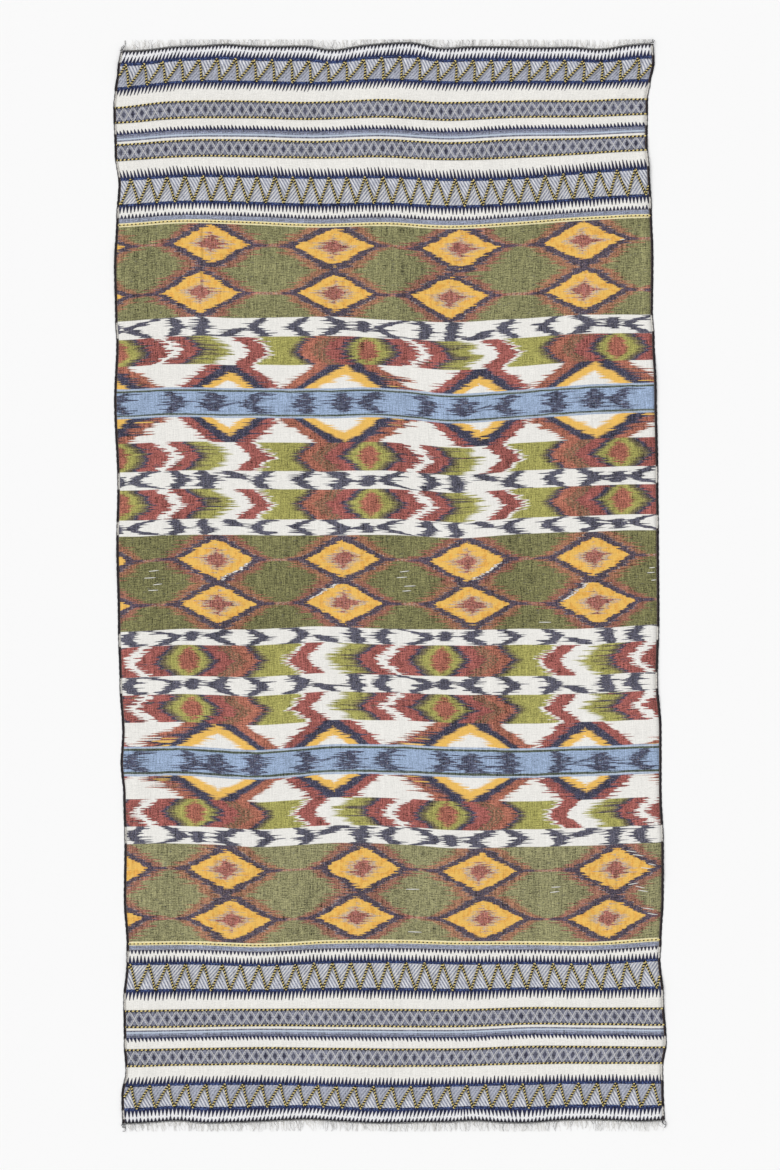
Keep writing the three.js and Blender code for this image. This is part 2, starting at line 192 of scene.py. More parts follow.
@dataclass(frozen=True)
class Lay:
    """How the flat cloth lies on the surface: its edges, the bow of its wefts, and its lift."""

    edges: Sequence[Row] = tuple(EDGES)
    bows: Sequence[Row] = tuple(WEFT_BOWS)
    ridges: Sequence[Row] = tuple(RIDGES)
    creases: Sequence[Row] = tuple(CREASES)
    ripple_reach: float = 70.0

    def lift(self, x: np.ndarray, y: np.ndarray) -> np.ndarray:
        """Gives the height of the underside over the surface.

        Args:
            x: places across, in millimetres.
            y: places along.

        Returns:
            Heights in millimetres, none below 0.
        """
        swell = np.zeros_like(x)
        for ridge in self.ridges:
            swell = np.maximum(swell, self.hump(ridge, x, y))
        swell = np.minimum(swell, FOLD_TOP)
        fine = np.zeros_like(x)
        for crease in self.creases:
            wander = 5.0 * np.sin(y / 47.0 + crease[0]) + 2.0 * np.sin(y / 19.0 + crease[1])
            fine = np.maximum(fine, self.hump(crease, x + wander, y))
        return swell + fine

    def hump(self, ridge: Row, x: np.ndarray, y: np.ndarray) -> np.ndarray:
        """Gives one ridge's height: rounded across, and running out at its ends.

        Args:
            ridge: x, y, length, width, height and turn.
            x: places across.
            y: places along.

        Returns:
            Heights in millimetres.
        """
        at_x, at_y, long, wide, high, turn = ridge
        angle = math.radians(turn)
        dx, dy = x - at_x, y - at_y
        along = np.abs(dy * math.cos(angle) - dx * math.sin(angle)) / (long / 2)
        across = np.abs(dx * math.cos(angle) + dy * math.sin(angle)) / (wide / 2)
        round_top = 0.5 + 0.5 * np.cos(np.pi * np.minimum(across, 1))
        return high * round_top * ease(np.clip(2.5 * (1 - along), 0, 1))

    def place(self, y: np.ndarray, share: np.ndarray, inset: float = 0.0) -> np.ndarray:
        """Places points of the flat cloth where they lie.

        Args:
            y: places along the flat cloth, in millimetres.
            share: places across it, from 0 at the left edge to 1 at the right.
            inset: how far in from both edges the shares 0 and 1 are.

        Returns:
            Points x, y, z in millimetres, on the underside.
        """
        sides = between(self.edges, y)
        left, right = sides[:, 0], sides[:, 1]
        x = left + inset + (right - left - 2 * inset) * share
        across = (x - left) / (right - left)
        on_y = y + through(between(self.bows, y), across)
        for ripple, end in ((TOP_RIPPLE, TOP_END), (BOTTOM_RIPPLE, BOTTOM_END)):
            fade = ease(np.clip(1 - np.abs(y - end) / self.ripple_reach, 0, 1))
            on_y = on_y + fade * through(np.tile(np.array(ripple, float), (len(y), 1)), across)
        return np.stack([x, on_y, self.lift(x, on_y)], axis=1)

    def flat_x(self, y: np.ndarray, share: np.ndarray, inset: float) -> np.ndarray:
        """Gives the distance across the flat cloth from its left edge.

        Args:
            y: places along the flat cloth.
            share: places across it.
            inset: how far in from the edges the shares 0 and 1 are.

        Returns:
            Distances in millimetres.
        """
        sides = between(self.edges, y)
        wide = sides[:, 1] - sides[:, 0]
        return (inset + (wide - 2 * inset) * share) / wide * self.flat_wide(y)

    def flat_wide(self, y: np.ndarray) -> np.ndarray:
        """Gives the flat width at places along the cloth."""
        return between(FLAT_WIDE, y)[:, 0]


def rgb(red: float, green: float, blue: float) -> tuple[float, float, float, float]:
    """Turns a display colour of 0 to 255 into the linear colour that a shader takes.

    Args:
        red: the red part.
        green: the green part.
        blue: the blue part.

    Returns:
        Linear red, green, blue and 1.
    """
    def linear(c: float) -> float:
        """Gives the linear value of one part."""
        s = c / 255
        return s / 12.92 if s <= 0.04045 else ((s + 0.055) / 1.055) ** 2.4
    return (linear(red), linear(green), linear(blue), 1.0)


class Dye(Enum):
    """The dyed and undyed yarn colours of the cloth."""

    WHITE = rgb(233, 231, 226)
    GREEN = rgb(130, 128, 90)
    DEEP_GREEN = rgb(117, 115, 76)
    SOFT_GREEN = rgb(141, 138, 101)
    YELLOW_GREEN = rgb(160, 158, 104)
    DARK_GREEN = rgb(88, 88, 68)
    YELLOW = rgb(233, 186, 95)
    RED = rgb(152, 88, 82)
    CORE = rgb(160, 98, 82)
    ORANGE = rgb(218, 154, 66)
    RUST = rgb(162, 102, 84)
    NAVY = rgb(62, 62, 82)
    LILAC = rgb(178, 166, 160)
    LIME = rgb(160, 156, 88)
    OLIVE = rgb(106, 96, 74)
    BLUE = rgb(150, 169, 197)
    PALE_BLUE = rgb(186, 197, 212)
    OLIVE_LINE = rgb(76, 84, 68)
    INK = rgb(32, 38, 74)
    BLUE_INK = rgb(66, 82, 124)
    BLACK = rgb(34, 32, 38)
    BROWN = rgb(78, 60, 50)
    SLATE = rgb(52, 52, 70)
    GREY = rgb(120, 122, 137)
    TWILL = rgb(146, 150, 166)
    STEEL = rgb(120, 129, 154)
    FROST = rgb(232, 232, 234)
    PALE_GREY = rgb(176, 176, 182)
    GOLD = rgb(228, 208, 134)
    CREAM = rgb(238, 228, 184)
    UNDYED = rgb(216, 212, 205)
    ASH = rgb(152, 150, 148)


class Field:
    """A number that changes over a surface, held by one socket of a node tree."""

    def __init__(self, plan: "Plan", socket: bpy.types.NodeSocket) -> None:
        """Keeps the plan and the socket."""
        self.plan = plan
        self.socket = socket

    def _with(self, operation: str, *others: "Field | float") -> "Field":
        """Applies one math operation to this field and others."""
        return self.plan.maths(operation, self, *others)

    def __add__(self, other: "Field | float") -> "Field":
        """Adds."""
        return self._with("ADD", other)

    def __sub__(self, other: "Field | float") -> "Field":
        """Subtracts."""
        return self._with("SUBTRACT", other)

    def __rsub__(self, other: float) -> "Field":
        """Subtracts this field from a number."""
        return self.plan.maths("SUBTRACT", other, self)

    def __mul__(self, other: "Field | float") -> "Field":
        """Multiplies."""
        return self._with("MULTIPLY", other)

    def __truediv__(self, other: "Field | float") -> "Field":
        """Divides."""
        return self._with("DIVIDE", other)

    def __mod__(self, other: float) -> "Field":
        """Gives the rest of a division, never below 0."""
        return self._with("FLOORED_MODULO", other)

    def __gt__(self, other: "Field | float") -> "Field":
        """Gives 1 where this field is greater, and 0 elsewhere."""
        return self._with("GREATER_THAN", other)

    def __lt__(self, other: "Field | float") -> "Field":
        """Gives 1 where this field is less, and 0 elsewhere."""
        return self._with("LESS_THAN", other)

    def __abs__(self) -> "Field":
        """Gives the size without the sign."""
        return self._with("ABSOLUTE")

    def __pow__(self, other: float) -> "Field":
        """Raises to a power."""
        return self._with("POWER", other)

    __radd__ = __add__
    __rmul__ = __mul__

    def floor(self) -> "Field":
        """Gives the whole number at or below."""
        return self._with("FLOOR")

    def most(self, other: "Field | float") -> "Field":
        """Gives the greater of the two."""
        return self._with("MAXIMUM", other)

    def wrapped(self, period: float) -> "Field":
        """Gives the signed distance to the nearest whole number of periods."""
        return (self + period / 2) % period - period / 2

    def choose(self, low: "Field | float", high: "Field | float") -> "Field":
        """Gives low where this mask is 0 and high where it is 1."""
        return self.plan.choice(self, low, high)


Value = Field | float
Paint = bpy.types.NodeSocket | Dye
Stop = tuple[float, Dye] | tuple[float, Dye, float]


class Plan:
    """A node tree being written: each method adds nodes and gives back what they put out."""

    def __init__(self, tree: bpy.types.NodeTree) -> None:
        """Keeps the tree."""
        self.tree = tree

    def node(self, kind: str, **settings: object) -> bpy.types.Node:
        """Adds a node.

        Args:
            kind: the node's type.
            settings: its properties and their values.

        Returns:
            The node.
        """
        made = self.tree.nodes.new(kind)
        for name, value in settings.items():
            setattr(made, name, value)
        return made

    def feed(self, socket: bpy.types.NodeSocket, value: "Value | Paint | tuple") -> None:
        """Links or sets an input.

        Args:
            socket: the input.
            value: a field, another node's socket, a dye or a number.
        """
        if isinstance(value, Field):
            self.tree.links.new(value.socket, socket)
        elif isinstance(value, bpy.types.NodeSocket):
            self.tree.links.new(value, socket)
        else:
            socket.default_value = value.value if isinstance(value, Dye) else value

    def fed(self, made: bpy.types.Node, *values: "Value | Paint",
            skip: Sequence[int] = ()) -> bpy.types.Node:
        """Fills a node's inputs in order.

        Args:
            made: the node.
            values: what goes into its inputs.
            skip: the inputs, by number, that are passed over.

        Returns:
            The node.
        """
        sockets = [socket for number, socket in enumerate(made.inputs) if number not in skip]
        for socket, value in zip(sockets, values):
            self.feed(socket, value)
        return made

    def maths(self, operation: str, *values: Value) -> Field:
        """Adds a math node: its operation, and its inputs in order."""
        return Field(self, self.fed(self.node("ShaderNodeMath", operation=operation), *values).outputs[0])

    def choice(self, mask: Value, low: Value, high: Value) -> Field:
        """Blends two fields by a mask.

        Args:
            mask: 0 for low, 1 for high.
            low: the first field.
            high: the second field.

        Returns:
            The blend.
        """
        made = self.node("ShaderNodeMix", data_type="FLOAT", clamp_factor=True)
        return Field(self, self.fed(made, mask, low, high, skip=(1,)).outputs[0])

    def fade(self, value: Value, start: Value, end: Value, smooth: bool = True, full: float = 1.0) -> Field:
        """Runs from 0 to full as a value goes from start to end.

        Args:
            value: the value.
            start: where the result is 0.
            end: where it is full.
            smooth: whether it is level at both ends.
            full: the result at the end.

        Returns:
            The result, from 0 to full.
        """
        kind = "SMOOTHSTEP" if smooth else "LINEAR"
        made = self.node("ShaderNodeMapRange", clamp=True, interpolation_type=kind)
        return Field(self, self.fed(made, value, start, end, 0.0, full).outputs[0])

    def paint(self, mask: Value, under: Paint, over: Paint, blend: str = "MIX") -> bpy.types.NodeSocket:
        """Lays one colour over another where a mask says.

        Args:
            mask: how much of the upper colour shows.
            under: the lower colour.
            over: the upper colour.
            blend: how the two are blended.

        Returns:
            The colour's socket.
        """
        made = self.node("ShaderNodeMix", data_type="RGBA", blend_type=blend, clamp_factor=True)
        return self.fed(made, mask, under, over, skip=range(1, 6)).outputs[2]

    def ramp(self, at: Value, span: float, stops: Sequence[Stop], blur: float) -> bpy.types.NodeSocket:
        """Colours a value by bands with soft edges.

        Args:
            at: the value, from 0 to span.
            span: the length of the ramp.
            stops: where each band starts, its colour, and how wide its edge is if not as blur says.
            blur: how wide an edge is.

        Returns:
            The colour's socket.
        """
        made = self.node("ShaderNodeValToRGB")
        made.color_ramp.interpolation = "LINEAR" if blur else "CONSTANT"
        places: list[tuple[float, Dye]] = [(0.0, stops[0][1])]
        for stop, following in zip(stops, stops[1:]):
            start, dye = following[:2]
            edge = following[2] if len(following) > 2 else blur
            if edge:
                places.append(((start - edge / 2) / span, stop[1]))
            places.append(((start + edge / 2) / span, dye))
        if len(places) > 32:
            raise ValueError(f"{len(places)} places are too many for one ramp")
        elements = made.color_ramp.elements
        elements.remove(elements[1])
        elements[0].position, elements[0].color = 0.0, places[0][1].value
        for place, dye in places[1:]:
            elements.new(min(max(place, 0.0), 1.0)).color = dye.value
        self.feed(made.inputs[0], at / span if isinstance(at, Field) else at)
        return made.outputs[0]

    def weights(self, at: Value, span: float, stops: Sequence[Row]) -> tuple[Field, Field]:
        """Follows two values along a ramp.

        Args:
            at: the place on the ramp, from 0 to span.
            span: the length of the ramp.
            stops: rows of a place and the two values there.

        Returns:
            The two values.
        """
        made = self.node("ShaderNodeValToRGB")
        elements = made.color_ramp.elements
        elements.remove(elements[1])
        elements[0].position, elements[0].color = 0.0, (stops[0][1], stops[0][2], 0.0, 1.0)
        for place, first, second in stops[1:]:
            elements.new(place / span).color = (first, second, 0.0, 1.0)
        self.feed(made.inputs[0], at / span)
        split = self.node("ShaderNodeSeparateColor")
        self.feed(split.inputs[0], made.outputs[0])
        return Field(self, split.outputs[0]), Field(self, split.outputs[1])

    def vector(self, x: Value, y: Value, z: Value = 0.0) -> bpy.types.NodeSocket:
        """Joins three fields into a vector."""
        return self.fed(self.node("ShaderNodeCombineXYZ"), x, y, z).outputs[0]

    def in_mm(self, vector: bpy.types.NodeSocket) -> list[Field]:
        """Splits a vector in metres.

        Args:
            vector: the vector's socket.

        Returns:
            Its three parts in millimetres.
        """
        made = self.fed(self.node("ShaderNodeSeparateXYZ"), vector)
        return [Field(self, socket) * PER_METRE for socket in made.outputs]

    def shaded(self, colour: Paint, shade: Field) -> bpy.types.NodeSocket:
        """Makes a colour darker or lighter.

        Args:
            colour: the colour.
            shade: what its parts are multiplied by.

        Returns:
            The new colour's socket.
        """
        grey = self.fed(self.node("ShaderNodeCombineColor"), shade, shade, shade)
        return self.paint(1.0, colour, grey.outputs[0], "MULTIPLY")

    def noise(self, x: Value, y: Value = 0.0, z: Value = 0.0, detail: float = 0.0) -> Field:
        """Gives smooth noise around 0, from about -0.5 to 0.5.

        Args:
            x: the first coordinate.
            y: the second coordinate.
            z: the third coordinate.
            detail: how many finer layers are added.

        Returns:
            The noise.
        """
        made = self.node("ShaderNodeTexNoise", noise_dimensions="3D")
        self.feed(made.inputs["Vector"], self.vector(x, y, z))
        self.feed(made.inputs["Scale"], 1.0)
        self.feed(made.inputs["Detail"], detail)
        return Field(self, made.outputs[0]) - 0.5

    def chance(self, number: Value) -> Field:
        """Gives a value from 0 to 1 that differs for every number."""
        made = self.node("ShaderNodeTexWhiteNoise", noise_dimensions="1D")
        self.feed(made.inputs["W"], number)
        return Field(self, made.outputs[0])

    def use(self, group: "Group", **given: "Value | Paint") -> dict[str, Field]:
        """Places a shared group in this tree.

        Args:
            group: the group.
            given: its inputs by name.

        Returns:
            Its outputs by name.
        """
        made = self.node("ShaderNodeGroup", node_tree=group.tree)
        for name, value in given.items():
            self.feed(made.inputs[name], value)
        return {socket.name: Field(self, socket) for socket in made.outputs}


class Group:
    """A shared node group with named inputs and outputs."""

    def __init__(self, name: str, inputs: str, outputs: str,
                 build: Callable[..., dict[str, "Value | Paint"]]) -> None:
        """Makes the group and has its nodes written.

        Args:
            name: the group's name.
            inputs: the names of its inputs, all numbers.
            outputs: the names of its outputs: colour is a colour, and any other a number.
            build: a function of the plan and the inputs that gives the outputs.
        """
        self.tree = bpy.data.node_groups.new(name, "ShaderNodeTree")
        for key in inputs.split():
            self.tree.interface.new_socket(name=key, in_out="INPUT", socket_type="NodeSocketFloat")
        for key in outputs.split():
            kind = "Color" if key == "colour" else "Float"
            self.tree.interface.new_socket(name=key, in_out="OUTPUT", socket_type=f"NodeSocket{kind}")
        plan = Plan(self.tree)
        enter = plan.node("NodeGroupInput")
        leave = plan.node("NodeGroupOutput")
        given = {key: Field(plan, enter.outputs[key]) for key in inputs.split()}
        for key, value in build(plan, **given).items():
            plan.feed(leave.inputs[key], value)


PITCH = 463.4  # one repeat of the ikat across the cloth
MIDDLE = 6.5  # where the ikat turns over, along the cloth
TURN_SUM = 1062.0  # the turned half is read from the other edge
BORDER_MIDDLE = 4.1  # where one border mirrors the other, along the cloth
BORDER_SUM = 989.4  # from there to either end
BORDER_DEEP = 328.2  # where the border ends and the ikat begins, in from the end
HEM_DEEP = 64.0  # how far in the lines of the near hem lie closer
NEAR_STRETCH = 0.0616  # how much closer they lie
COMB = 6.76  # one tooth of the border combs
LOZENGE = 16.96  # one small lozenge
ZIGZAG = 33.9  # one zigzag
STRAYS = " shift long back"  # inputs: how far a thread strays, and its feathers to the right and left
BLEED = 0.6  # half the width of an edge between two bands

# Where each band of the middle begins, from MIDDLE outwards.
WHITE_ONE, CHEVRON_ONE, WHITE_TWO, CHEVRON_TWO, TENTS_IN = 87.0, 116.5, 172.0, 205.5, 258.0
BLUE_BAND, TENTS_OUT, CHEVRON_THREE, WHITE_THREE, FAR_FIELD = 303.0, 358.0, 401.0, 452.5, 487.3


@dataclass(frozen=True)
class Stroke:
    """One dyed stroke of the small ikat bands: where it starts, bends and ends, and its half width."""

    start: float
    bend: float
    end: float
    bend_at: float
    half: float
    first: float = 0.0
    last: float = 1.0
    curl: float = 1.1


# Strokes of the small bands, in millimetres from the dot.
SMALL_STROKES: list[Stroke] = [
    Stroke(0, 1, 0, 0.5, 12.0, 0.26, 0.86),
    Stroke(64, 30, 88, 0.55, 10.0, curl=1.6),
    Stroke(103, 120, 106, 0.5, 10.5),
    Stroke(157, 167, 164, 0.7, 10.5),
    Stroke(201, 240, 246, 0.5, 15.0, 0.0, 0.48, 0.8),
    Stroke(282, 259, 280, 0.55, 10.0, curl=1.4),
    Stroke(358, 332, 359, 0.48, 10.0),
    Stroke(388, 424, 399, 0.55, 12.0),
]

# Strokes of the blue band, in millimetres from the dot.
BLUE_STROKES: list[Stroke] = [
    Stroke(30, 0, 33, 0.5, 10.0, 0.1, 0.92, 1.4),
    Stroke(86, 118, 87, 0.5, 10.0, 0.06, 0.94, 1.3),
    Stroke(177, 180, 178, 0.5, 15, 0.22, 0.84),
    Stroke(278, 250, 276, 0.45, 10.0, 0.06, 0.94, 1.3),
    Stroke(353, 350, 353, 0.5, 12, 0.08, 0.9),
    Stroke(418, 420, 418, 0.5, 14, 0.2, 0.86),
]

# The tents from their middle line outwards, 100 being the line from the tip.
TENT_RED: list[Stop] = [
    (0, Dye.WHITE), (74, Dye.YELLOW, 6.0), (92, Dye.NAVY, 4.0), (111, Dye.RED, 4.0), (131, Dye.WHITE, 3.0)]
TENT_RUST: list[Stop] = [
    (0, Dye.WHITE), (91, Dye.YELLOW, 9.0), (113, Dye.NAVY, 5.0), (129, Dye.RUST, 5.0), (152, Dye.WHITE, 5.0)]
TENT_RED_FEATHERS: list[Row] = [
    (0, 0.0, 0.0), (66, 0.0, 0.5), (84, 0.0, 0.5), (96, 0.25, 0.2), (114, 0.3, 0.1), (124, 0.7, 0.0),
    (142, 0.9, 0.0), (190, 0.7, 0.0)]
TENT_RUST_FEATHERS: list[Row] = [
    (0, 0.0, 0.0), (80, 0.0, 0.7), (98, 0.0, 0.4), (115, 0.1, 0.15), (130, 0.25, 0.1), (142, 0.75, 0.0),
    (158, 1.0, 0.0), (190, 1.0, 0.0)]

# The blue band from its middle line to either edge, as a share of its height.
BLUE_GROUND: list[Stop] = [
    (0, Dye.BLUE), (0.365, Dye.OLIVE_LINE), (0.43, Dye.PALE_BLUE, 0.03), (0.47, Dye.BLUE, 0.05)]

# The wide band from the middle of its eye to the right: where each colour starts, and how soft its edge is.
EYE_RIGHT: list[Stop] = [
    (0, Dye.CORE), (18.5, Dye.LIME, 9.0), (40, Dye.OLIVE, 12.0), (53, Dye.NAVY, 5.0), (61, Dye.RED, 5.0),
    (91, Dye.WHITE, 2.0), (124, Dye.RED, 2.0), (147, Dye.NAVY, 4.0), (155, Dye.OLIVE, 6.0),
    (166, Dye.LIME, 12.0), (198, Dye.WHITE, 12.0), (247, Dye.RED, 2.0), (275, Dye.WHITE, 2.0),
    (283, Dye.LIME, 4.0)]
EYE_LEFT: list[Stop] = [
    (0, Dye.CORE), (18.5, Dye.LIME, 9.0), (36, Dye.OLIVE, 9.0), (44, Dye.NAVY, 5.0), (54, Dye.RED, 6.0),
    (82, Dye.OLIVE, 4.0), (87, Dye.RUST, 3.0), (91, Dye.OLIVE, 3.0), (95, Dye.RUST, 3.0),
    (99, Dye.OLIVE, 3.0), (103, Dye.RUST, 4.0), (127, Dye.NAVY, 4.0), (135, Dye.OLIVE, 5.0),
    (145, Dye.LIME, 11.0)]

# How far the colours feather there, outwards and inwards.
EYE_RIGHT_FEATHERS: list[Row] = [
    (0, 0.15, 0.15), (38, 0.25, 0.2), (60, 0.25, 0.2), (80, 0.4, 0.0), (87, 0.9, 0.0), (103, 0.9, 0.0),
    (107, 0.0, 0.0), (112, 0.0, 0.9), (130, 0.0, 0.9), (140, 0.3, 0.2), (166, 0.4, 0.25), (184, 0.9, 0.0),
    (214, 1.0, 0.0), (236, 0.0, 0.4), (258, 0.0, 0.4), (270, 0.6, 0.1), (290, 0.6, 0.3), (325, 0.0, 0.0)]
EYE_LEFT_FEATHERS: list[Row] = [
    (0, 0.15, 0.15), (36, 0.3, 0.35), (60, 0.3, 0.35), (90, 0.3, 0.3), (118, 0.35, 0.3), (140, 0.45, 0.3),
    (155, 0.0, 0.0)]


class Ikat:
    """The dyed wefts of the cloth: every chart of the pattern as shared node groups."""

    def __init__(self) -> None:
        """Writes every group."""
        self.threads = Group("loose_threads", "x along", STRAYS, self.write_threads)
        self.stroke = Group("dyed_stroke", "x q start bend end bend_at half first last curl" + STRAYS,
                            "mask", self.write_stroke)
        self.chevrons = Group("chevron_band", "x t" + STRAYS, "colour", self.write_chevrons)
        self.tents = Group("tent_band", "x depth" + STRAYS, "colour", self.write_tents)
        self.small = Group("small_band", "x q" + STRAYS, "mask", self.write_small)
        self.blue = Group("blue_band", "x q" + STRAYS, "colour", self.write_blue)
        self.lozenge = Group("large_lozenge", "dx dy wide tall right left" + STRAYS,
                             "yellow core rim navy outer fleck whisker edge", self.write_lozenge)
        self.field = Group("green_field", "x w along" + STRAYS, "colour", self.write_field)
        self.middle = Group("ikat_middle", "x along", "colour", self.write_middle)

    def write_threads(self, plan: Plan, x: Field, along: Field) -> dict[str, Value]:
        """Shifts each weft thread and each bundle of threads sideways by its own amount.

        Args:
            plan: the group's plan.
            x: the place across, in millimetres.
            along: the place along the cloth.

        Returns:
            The shift, about -0.5 to 0.5, and the pointed feathers to the right and left, 0 to 1.
        """
        fine = plan.chance((along / 1.3).floor() * 1.37) - 0.5
        shift = fine * 0.7 + plan.noise(along / 2.7, x / 90.0, 7.0) + plan.noise(along / 13.0, 3.0) * 1.2
        made: dict[str, Value] = {"shift": shift}
        for name, salt in (("long", 50.0), ("back", 171.0)):
            peaks = plan.noise(along / 2.5, x / 120.0, salt)
            thread = plan.chance((along / 2.1).floor() * 1.73 + salt)
            made[name] = plan.fade(peaks, -0.04, 0.25, smooth=False) ** 1.5 + (thread ** 3.0) * 0.5
        return made

    def write_stroke(self, plan: Plan, x: Field, q: Field, start: Field, bend: Field, end: Field,
                     bend_at: Field, half: Field, first: Field, last: Field, curl: Field, shift: Field,
                     long: Field, back: Field) -> dict[str, Value]:
        """Draws one bent stroke across a band, with feathered sides.

        Args:
            plan: the group's plan.
            x: the place across, from the repeat's dot.
            q: the place through the band, 0 to 1.
            start: where the stroke's middle is at 0.
            bend: where it is at the bend.
            end: where it is at 1.
            bend_at: how far through the band it bends.
            half: its half width.
            first: where it begins through the band.
            last: where it stops.
            curl: how much its arms curve.
            shift, long, back: how far the thread strays, and its feathers to the right and left.

        Returns:
            The stroke's mask.
        """
        upper = plan.maths("POWER", plan.fade(q, bend_at, 0.0, smooth=False), curl)
        lower = plan.maths("POWER", plan.fade(q, bend_at, 1.0, smooth=False), curl)
        centre = bend + (start - bend) * upper + (end - bend) * lower
        off = (x - centre + shift * 8.0).wrapped(PITCH)
        taper = plan.fade(q, first - 0.08, first + 0.2) * plan.fade(q, last + 0.08, last - 0.2)
        reach = taper * (half * 0.65) + half * 0.2 + (off > 0.0).choose(back, long) * (half * 0.9 + 9.0)
        solid = plan.fade(abs(off) - reach, 1.7, -1.7)
        return {"mask": solid * plan.fade(taper, 0.02, 0.3)}

    def write_chevrons(self, plan: Plan, x: Field, t: Field, shift: Field, long: Field,
                       back: Field) -> dict[str, Paint]:
        """Charts the wide band: an eye with chevrons that point away from it on both sides.

        Args:
            plan: the group's plan.
            x: the place across, from the eye.
            t: the place through the band, -1 to 1 from its middle.
            shift, long, back: how far the thread strays, and its feathers to the right and left.

        Returns:
            The colour.
        """
        size = abs(t)
        slant = size * size * 38.0 / (size + 0.25)
        at = x % PITCH
        colours = []
        for distance, span, reach, stops in ((at, 325.0, EYE_RIGHT_FEATHERS, EYE_RIGHT),
                                             (PITCH - at, 155.0, EYE_LEFT_FEATHERS, EYE_LEFT)):
            pointed = distance + slant
            oval = ((distance * distance) + (t * t) * 460.0) ** 0.5
            place = plan.fade(pointed, 16.0, 46.0).choose(oval, pointed) + shift * 7.0
            out, inward = plan.weights(place.most(0.0), span, reach)
            toward, away = (long, back) if distance is at else (back, long)
            place = place - out * toward * 30.0 + inward * away * 30.0
            colours.append(plan.ramp(place.most(0.0), span, stops, 3.0))
        return {"colour": plan.paint(at > 311.0, colours[0], colours[1])}

    def write_tents(self, plan: Plan, x: Field, depth: Field, shift: Field, long: Field,
                    back: Field) -> dict[str, Paint]:
        """Charts the band of tents: two kinds by turns, yellow inside with navy and red roofs.

        Args:
            plan: the group's plan.
            x: the place across, from the repeat's dot.
            depth: the distance in from the tents' tips.
            shift, long, back: how far the thread strays, and its feathers to the right and left.

        Returns:
            The colour.
        """
        colours = []
        near: Field | None = None
        for tip, slopes, reach, fan, feathers, stops in (
                (209.0, (1.28, 1.28), (22.0, 24.0), 0.1, TENT_RED_FEATHERS, TENT_RED),
                (424.0, (1.45, 1.15), (18.0, 16.0), 1.1, TENT_RUST_FEATHERS, TENT_RUST)):
            off = (x - tip + shift * 3.0).wrapped(PITCH)
            right = off > 0.0
            side = abs(off) - depth * right.choose(*slopes) + shift * 6.0
            roof = stops[3][0] - 100.0
            side = side + (roof - side).most(0.0) * plan.fade(depth, 40.0, 0.0, smooth=False) * 0.48
            out, inward = plan.weights((side + 100.0).most(0.0), 190.0, feathers)
            toward = right.choose(back * reach[0], (long * 0.7 + 0.3) * (reach[1] + depth * fan))
            away = right.choose(long, back) * 20.0
            side = side - out * toward + inward * away
            colours.append(plan.ramp((side + 100.0).most(0.0), 190.0, stops, 3.4))
            near = plan.fade(side, 62.0, 58.0)
        return {"colour": plan.paint(near, colours[0], colours[1])}

    def draw(self, plan: Plan, strokes: Sequence[Stroke], **given: Field) -> Field:
        """Draws a band's strokes together.

        Args:
            plan: the plan that takes them.
            strokes: the strokes.
            given: x, q, shift, long and back.

        Returns:
            One mask for all of them.
        """
        whole: Field | None = None
        for one in strokes:
            mask = plan.use(self.stroke, start=one.start, bend=one.bend, end=one.end, bend_at=one.bend_at,
                            half=one.half, first=one.first, last=one.last, curl=one.curl, **given)["mask"]
            whole = mask if whole is None else whole.most(mask)
        return whole

    def write_small(self, plan: Plan, **given: Field) -> dict[str, Value]:
        """Charts the narrow white band with its row of navy marks.

        Args:
            plan: the group's plan.
            given: x, q, shift, long and back.

        Returns:
            The mask of the navy.
        """
        return {"mask": self.draw(plan, SMALL_STROKES, **given)}

    def write_blue(self, plan: Plan, x: Field, q: Field, shift: Field, long: Field,
                   back: Field) -> dict[str, Paint]:
        """Charts the blue band: navy blotches between two olive lines.

        Args:
            plan: the group's plan.
            x: the place across, from the repeat's dot.
            q: the place through the band.
            shift, long, back: how far the thread strays, and its feathers to the right and left.

        Returns:
            The colour.
        """
        mask = self.draw(plan, BLUE_STROKES, x=x, q=q, shift=shift, long=long * 1.35, back=back * 1.35)
        line = x.wrapped(PITCH)
        bend = plan.maths("SINE", line / 17.0) * 0.03
        thread = plan.fade(abs(q - 0.48 - (line - 215.0) * 0.002 - bend), 0.05, 0.02)
        mask = mask.most(thread * plan.fade(abs(line - 205.0), 40.0, 30.0) * 0.8)
        worn = plan.fade(plan.noise(x / 16.0, q * 26.0, 33.0, detail=1.0), 0.0, 0.2)
        off = abs(q - 0.5)
        uneven = off + shift * 0.03 + plan.noise(x / 24.0, 6.0) * 0.03
        ground = plan.ramp(uneven, 0.56, BLUE_GROUND, 0.02)
        navy = mask * (0.96 - 0.5 * worn) * plan.fade(off, 0.38, 0.34)
        return {"colour": plan.paint(navy, ground, Dye.NAVY)}

